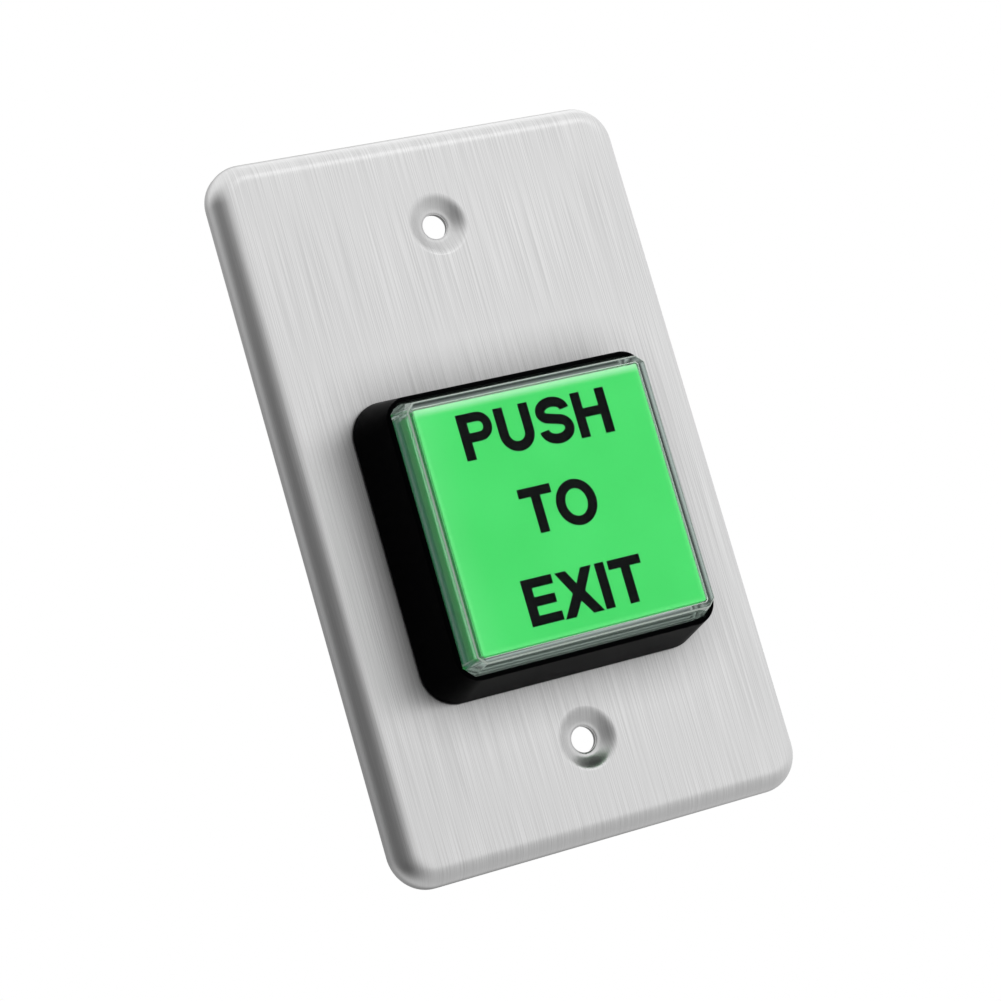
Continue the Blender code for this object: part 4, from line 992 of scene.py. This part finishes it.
def flatSquare(name, look, middle, half, turn=Matrix.Identity(3)):
    bm = bmesh.new()
    bm.faces.new([bm.verts.new(middle + turn @ Vector((x * half, y * half, 0.0)))
                  for x, y in ((-1, -1), (1, -1), (1, 1), (-1, 1))])
    return meshFrom(name, bm, look, turnOut=False)


def makeFloor():
    # painted studio floor: matt, near white, slightly uneven
    look, add, shader = newMaterial("mattFloorPaint", {"Roughness": 0.8, "Specular IOR Level": 0.2})
    coords = add("TexCoord")
    uneven = add("TexNoise", {"Scale": 3.0, "Vector": coords.outputs["Object"]})
    tint = add("Mix", {"data_type": "RGBA", 6: "#F1F1EF", 7: "#F7F7F6", 0: uneven})
    feed(shader, {"Base Color": tint.outputs[2]})
    path = add("LightPath")
    # to the eye it runs out into the white surround, and near the part it keeps the shadow
    away = add("VectorMath", "LENGTH", {0: coords.outputs["Object"]}).outputs["Value"]
    fade = add("MapRange",
               {"interpolation_type": "SMOOTHSTEP", "From Min": studio["whiteFrom"],
                "From Max": studio["whiteTo"], "To Min": studio["floorWhite"], "Value": away})
    seen = add("Math", "MULTIPLY", {0: path.outputs["Is Camera Ray"], 1: fade})
    white = add("Emission", {"Strength": 1.0})
    paler = add("MixShader", {0: seen, 1: shader, 2: white})
    # steel shows it grey under the part and white further off
    level = add("MapRange",
                {"From Min": studio["whiteFrom"], "From Max": studio["whiteTo"] / 2,
                 "To Min": studio["floorInSteel"], "Value": away})
    pale = add("Emission", {"Strength": level})
    mixed = add("MixShader", {0: path.outputs["Is Glossy Ray"], 1: paler, 2: pale})
    feed(look.node_tree.nodes["Material Output"], {"Surface": mixed})
    flatSquare("studioFloor", look, Vector((0.0, 0.0, studio["floorZ"])), studio["floorHalf"])


def clothLook(name):
    # an empty material for what only reflections show
    look, add, shader = newMaterial(name, {})
    look.node_tree.nodes.remove(shader)
    return look, add, look.node_tree.nodes["Material Output"]


def shownToReflections(piece):
    piece.visible_camera = False
    piece.visible_diffuse = False
    piece.visible_transmission = False
    piece.visible_shadow = False


def makeWhiteCards():
    for name, card in whiteCards.items():
        look, add, output = clothLook(name + "Cloth")
        feed(output, {"Surface": add("Emission", {"Strength": card["strength"]})})
        spot = Vector(card["place"])
        turn = (-spot).to_track_quat("Z", "Y").to_matrix()
        shownToReflections(flatSquare(name, look, spot, card["size"] / 2, turn))


def makeVeils():
    look, add, output = clothLook("blackVeilCloth")
    level = add("VectorMath", "NORMALIZE", {0: add("TexCoord").outputs["Object"]})
    covers = []
    for veil in (veils["left"], veils["rear"]):
        axis = Vector(veil["axis"]).normalized()
        toAxis = add("VectorMath", "DOT_PRODUCT", {0: level, 1: axis})
        covers.append(add("MapRange",
                          {"interpolation_type": "SMOOTHSTEP", "From Min": veil["from"], "From Max": veil["to"],
                           "To Max": veil["most"], "Value": toAxis.outputs["Value"]}))
    cover = add("Math", "MAXIMUM", {0: covers[0], 1: covers[1]})
    cloth = add("BsdfDiffuse", {"Color": "#0A0A0A"})
    mixed = add("MixShader", {0: cover, 1: add("BsdfTransparent"), 2: cloth})
    feed(output, {"Surface": mixed})
    bm = bmesh.new()
    bmesh.ops.create_icosphere(bm, subdivisions=4, radius=veils["radius"])
    shownToReflections(meshFrom("blackVeils", bm, look, 180))


def makeSurround():
    # white to the eye, in reflections and through clear plastic, softer as light
    world = bpy.data.worlds.new("studioSurround")
    world.use_nodes = True
    scene.world = world
    add = partial(addNode, world.node_tree)
    path = add("LightPath").outputs
    seen = add("Math", "MAXIMUM", {0: path["Is Camera Ray"], 1: path["Is Glossy Ray"]})
    shown = add("Math", "MAXIMUM", {0: seen, 1: path["Is Transmission Ray"]})
    strength = add("MapRange", {"To Min": studio["surround"], "To Max": 1.0, "Value": shown})
    feed(world.node_tree.nodes["Background"], {"Color": (1.0, 1.0, 1.0, 1.0), "Strength": strength})


def makeLamps():
    for name, lamp in lamps.items():
        light = bpy.data.lights.new(name, "AREA")
        light.shape = "SQUARE"
        light.size = lamp["size"]
        light.energy = lamp["watts"]
        made = bpy.data.objects.new(name, light)
        made.location = lamp["place"]
        made.rotation_mode = "QUATERNION"
        made.rotation_quaternion = (-Vector(lamp["place"])).to_track_quat("-Z", "Y")
        made.visible_glossy = False  # the white surround alone shows in the steel
        scene.collection.objects.link(made)


def makeCamera():
    turn, tilt, roll = (math.radians(photoCamera[key]) for key in ("turn", "tilt", "roll"))
    ahead = Vector((math.sin(turn) * math.cos(tilt), math.cos(turn) * math.cos(tilt), math.sin(tilt)))
    level = ahead.cross(Vector((0.0, 0.0, 1.0))).normalized()
    above = level.cross(ahead)
    right = level * math.cos(roll) - above * math.sin(roll)
    up = right.cross(ahead)
    data = bpy.data.cameras.new("photoCamera")
    data.lens = photoCamera["focal"]
    data.sensor_width = photoCamera["sensor"]
    data.clip_start = photoCamera["nearest"]
    made = bpy.data.objects.new("photoCamera", data)
    facing = Matrix((right, up, -ahead)).transposed().to_4x4()
    made.matrix_world = Matrix.Translation(photoCamera["place"]) @ facing
    scene.collection.objects.link(made)
    scene.camera = made


makeFloor()
makeWhiteCards()
makeVeils()
makeSurround()
makeLamps()
makeCamera()
scene.view_settings.view_transform = "Standard"
print("studio")
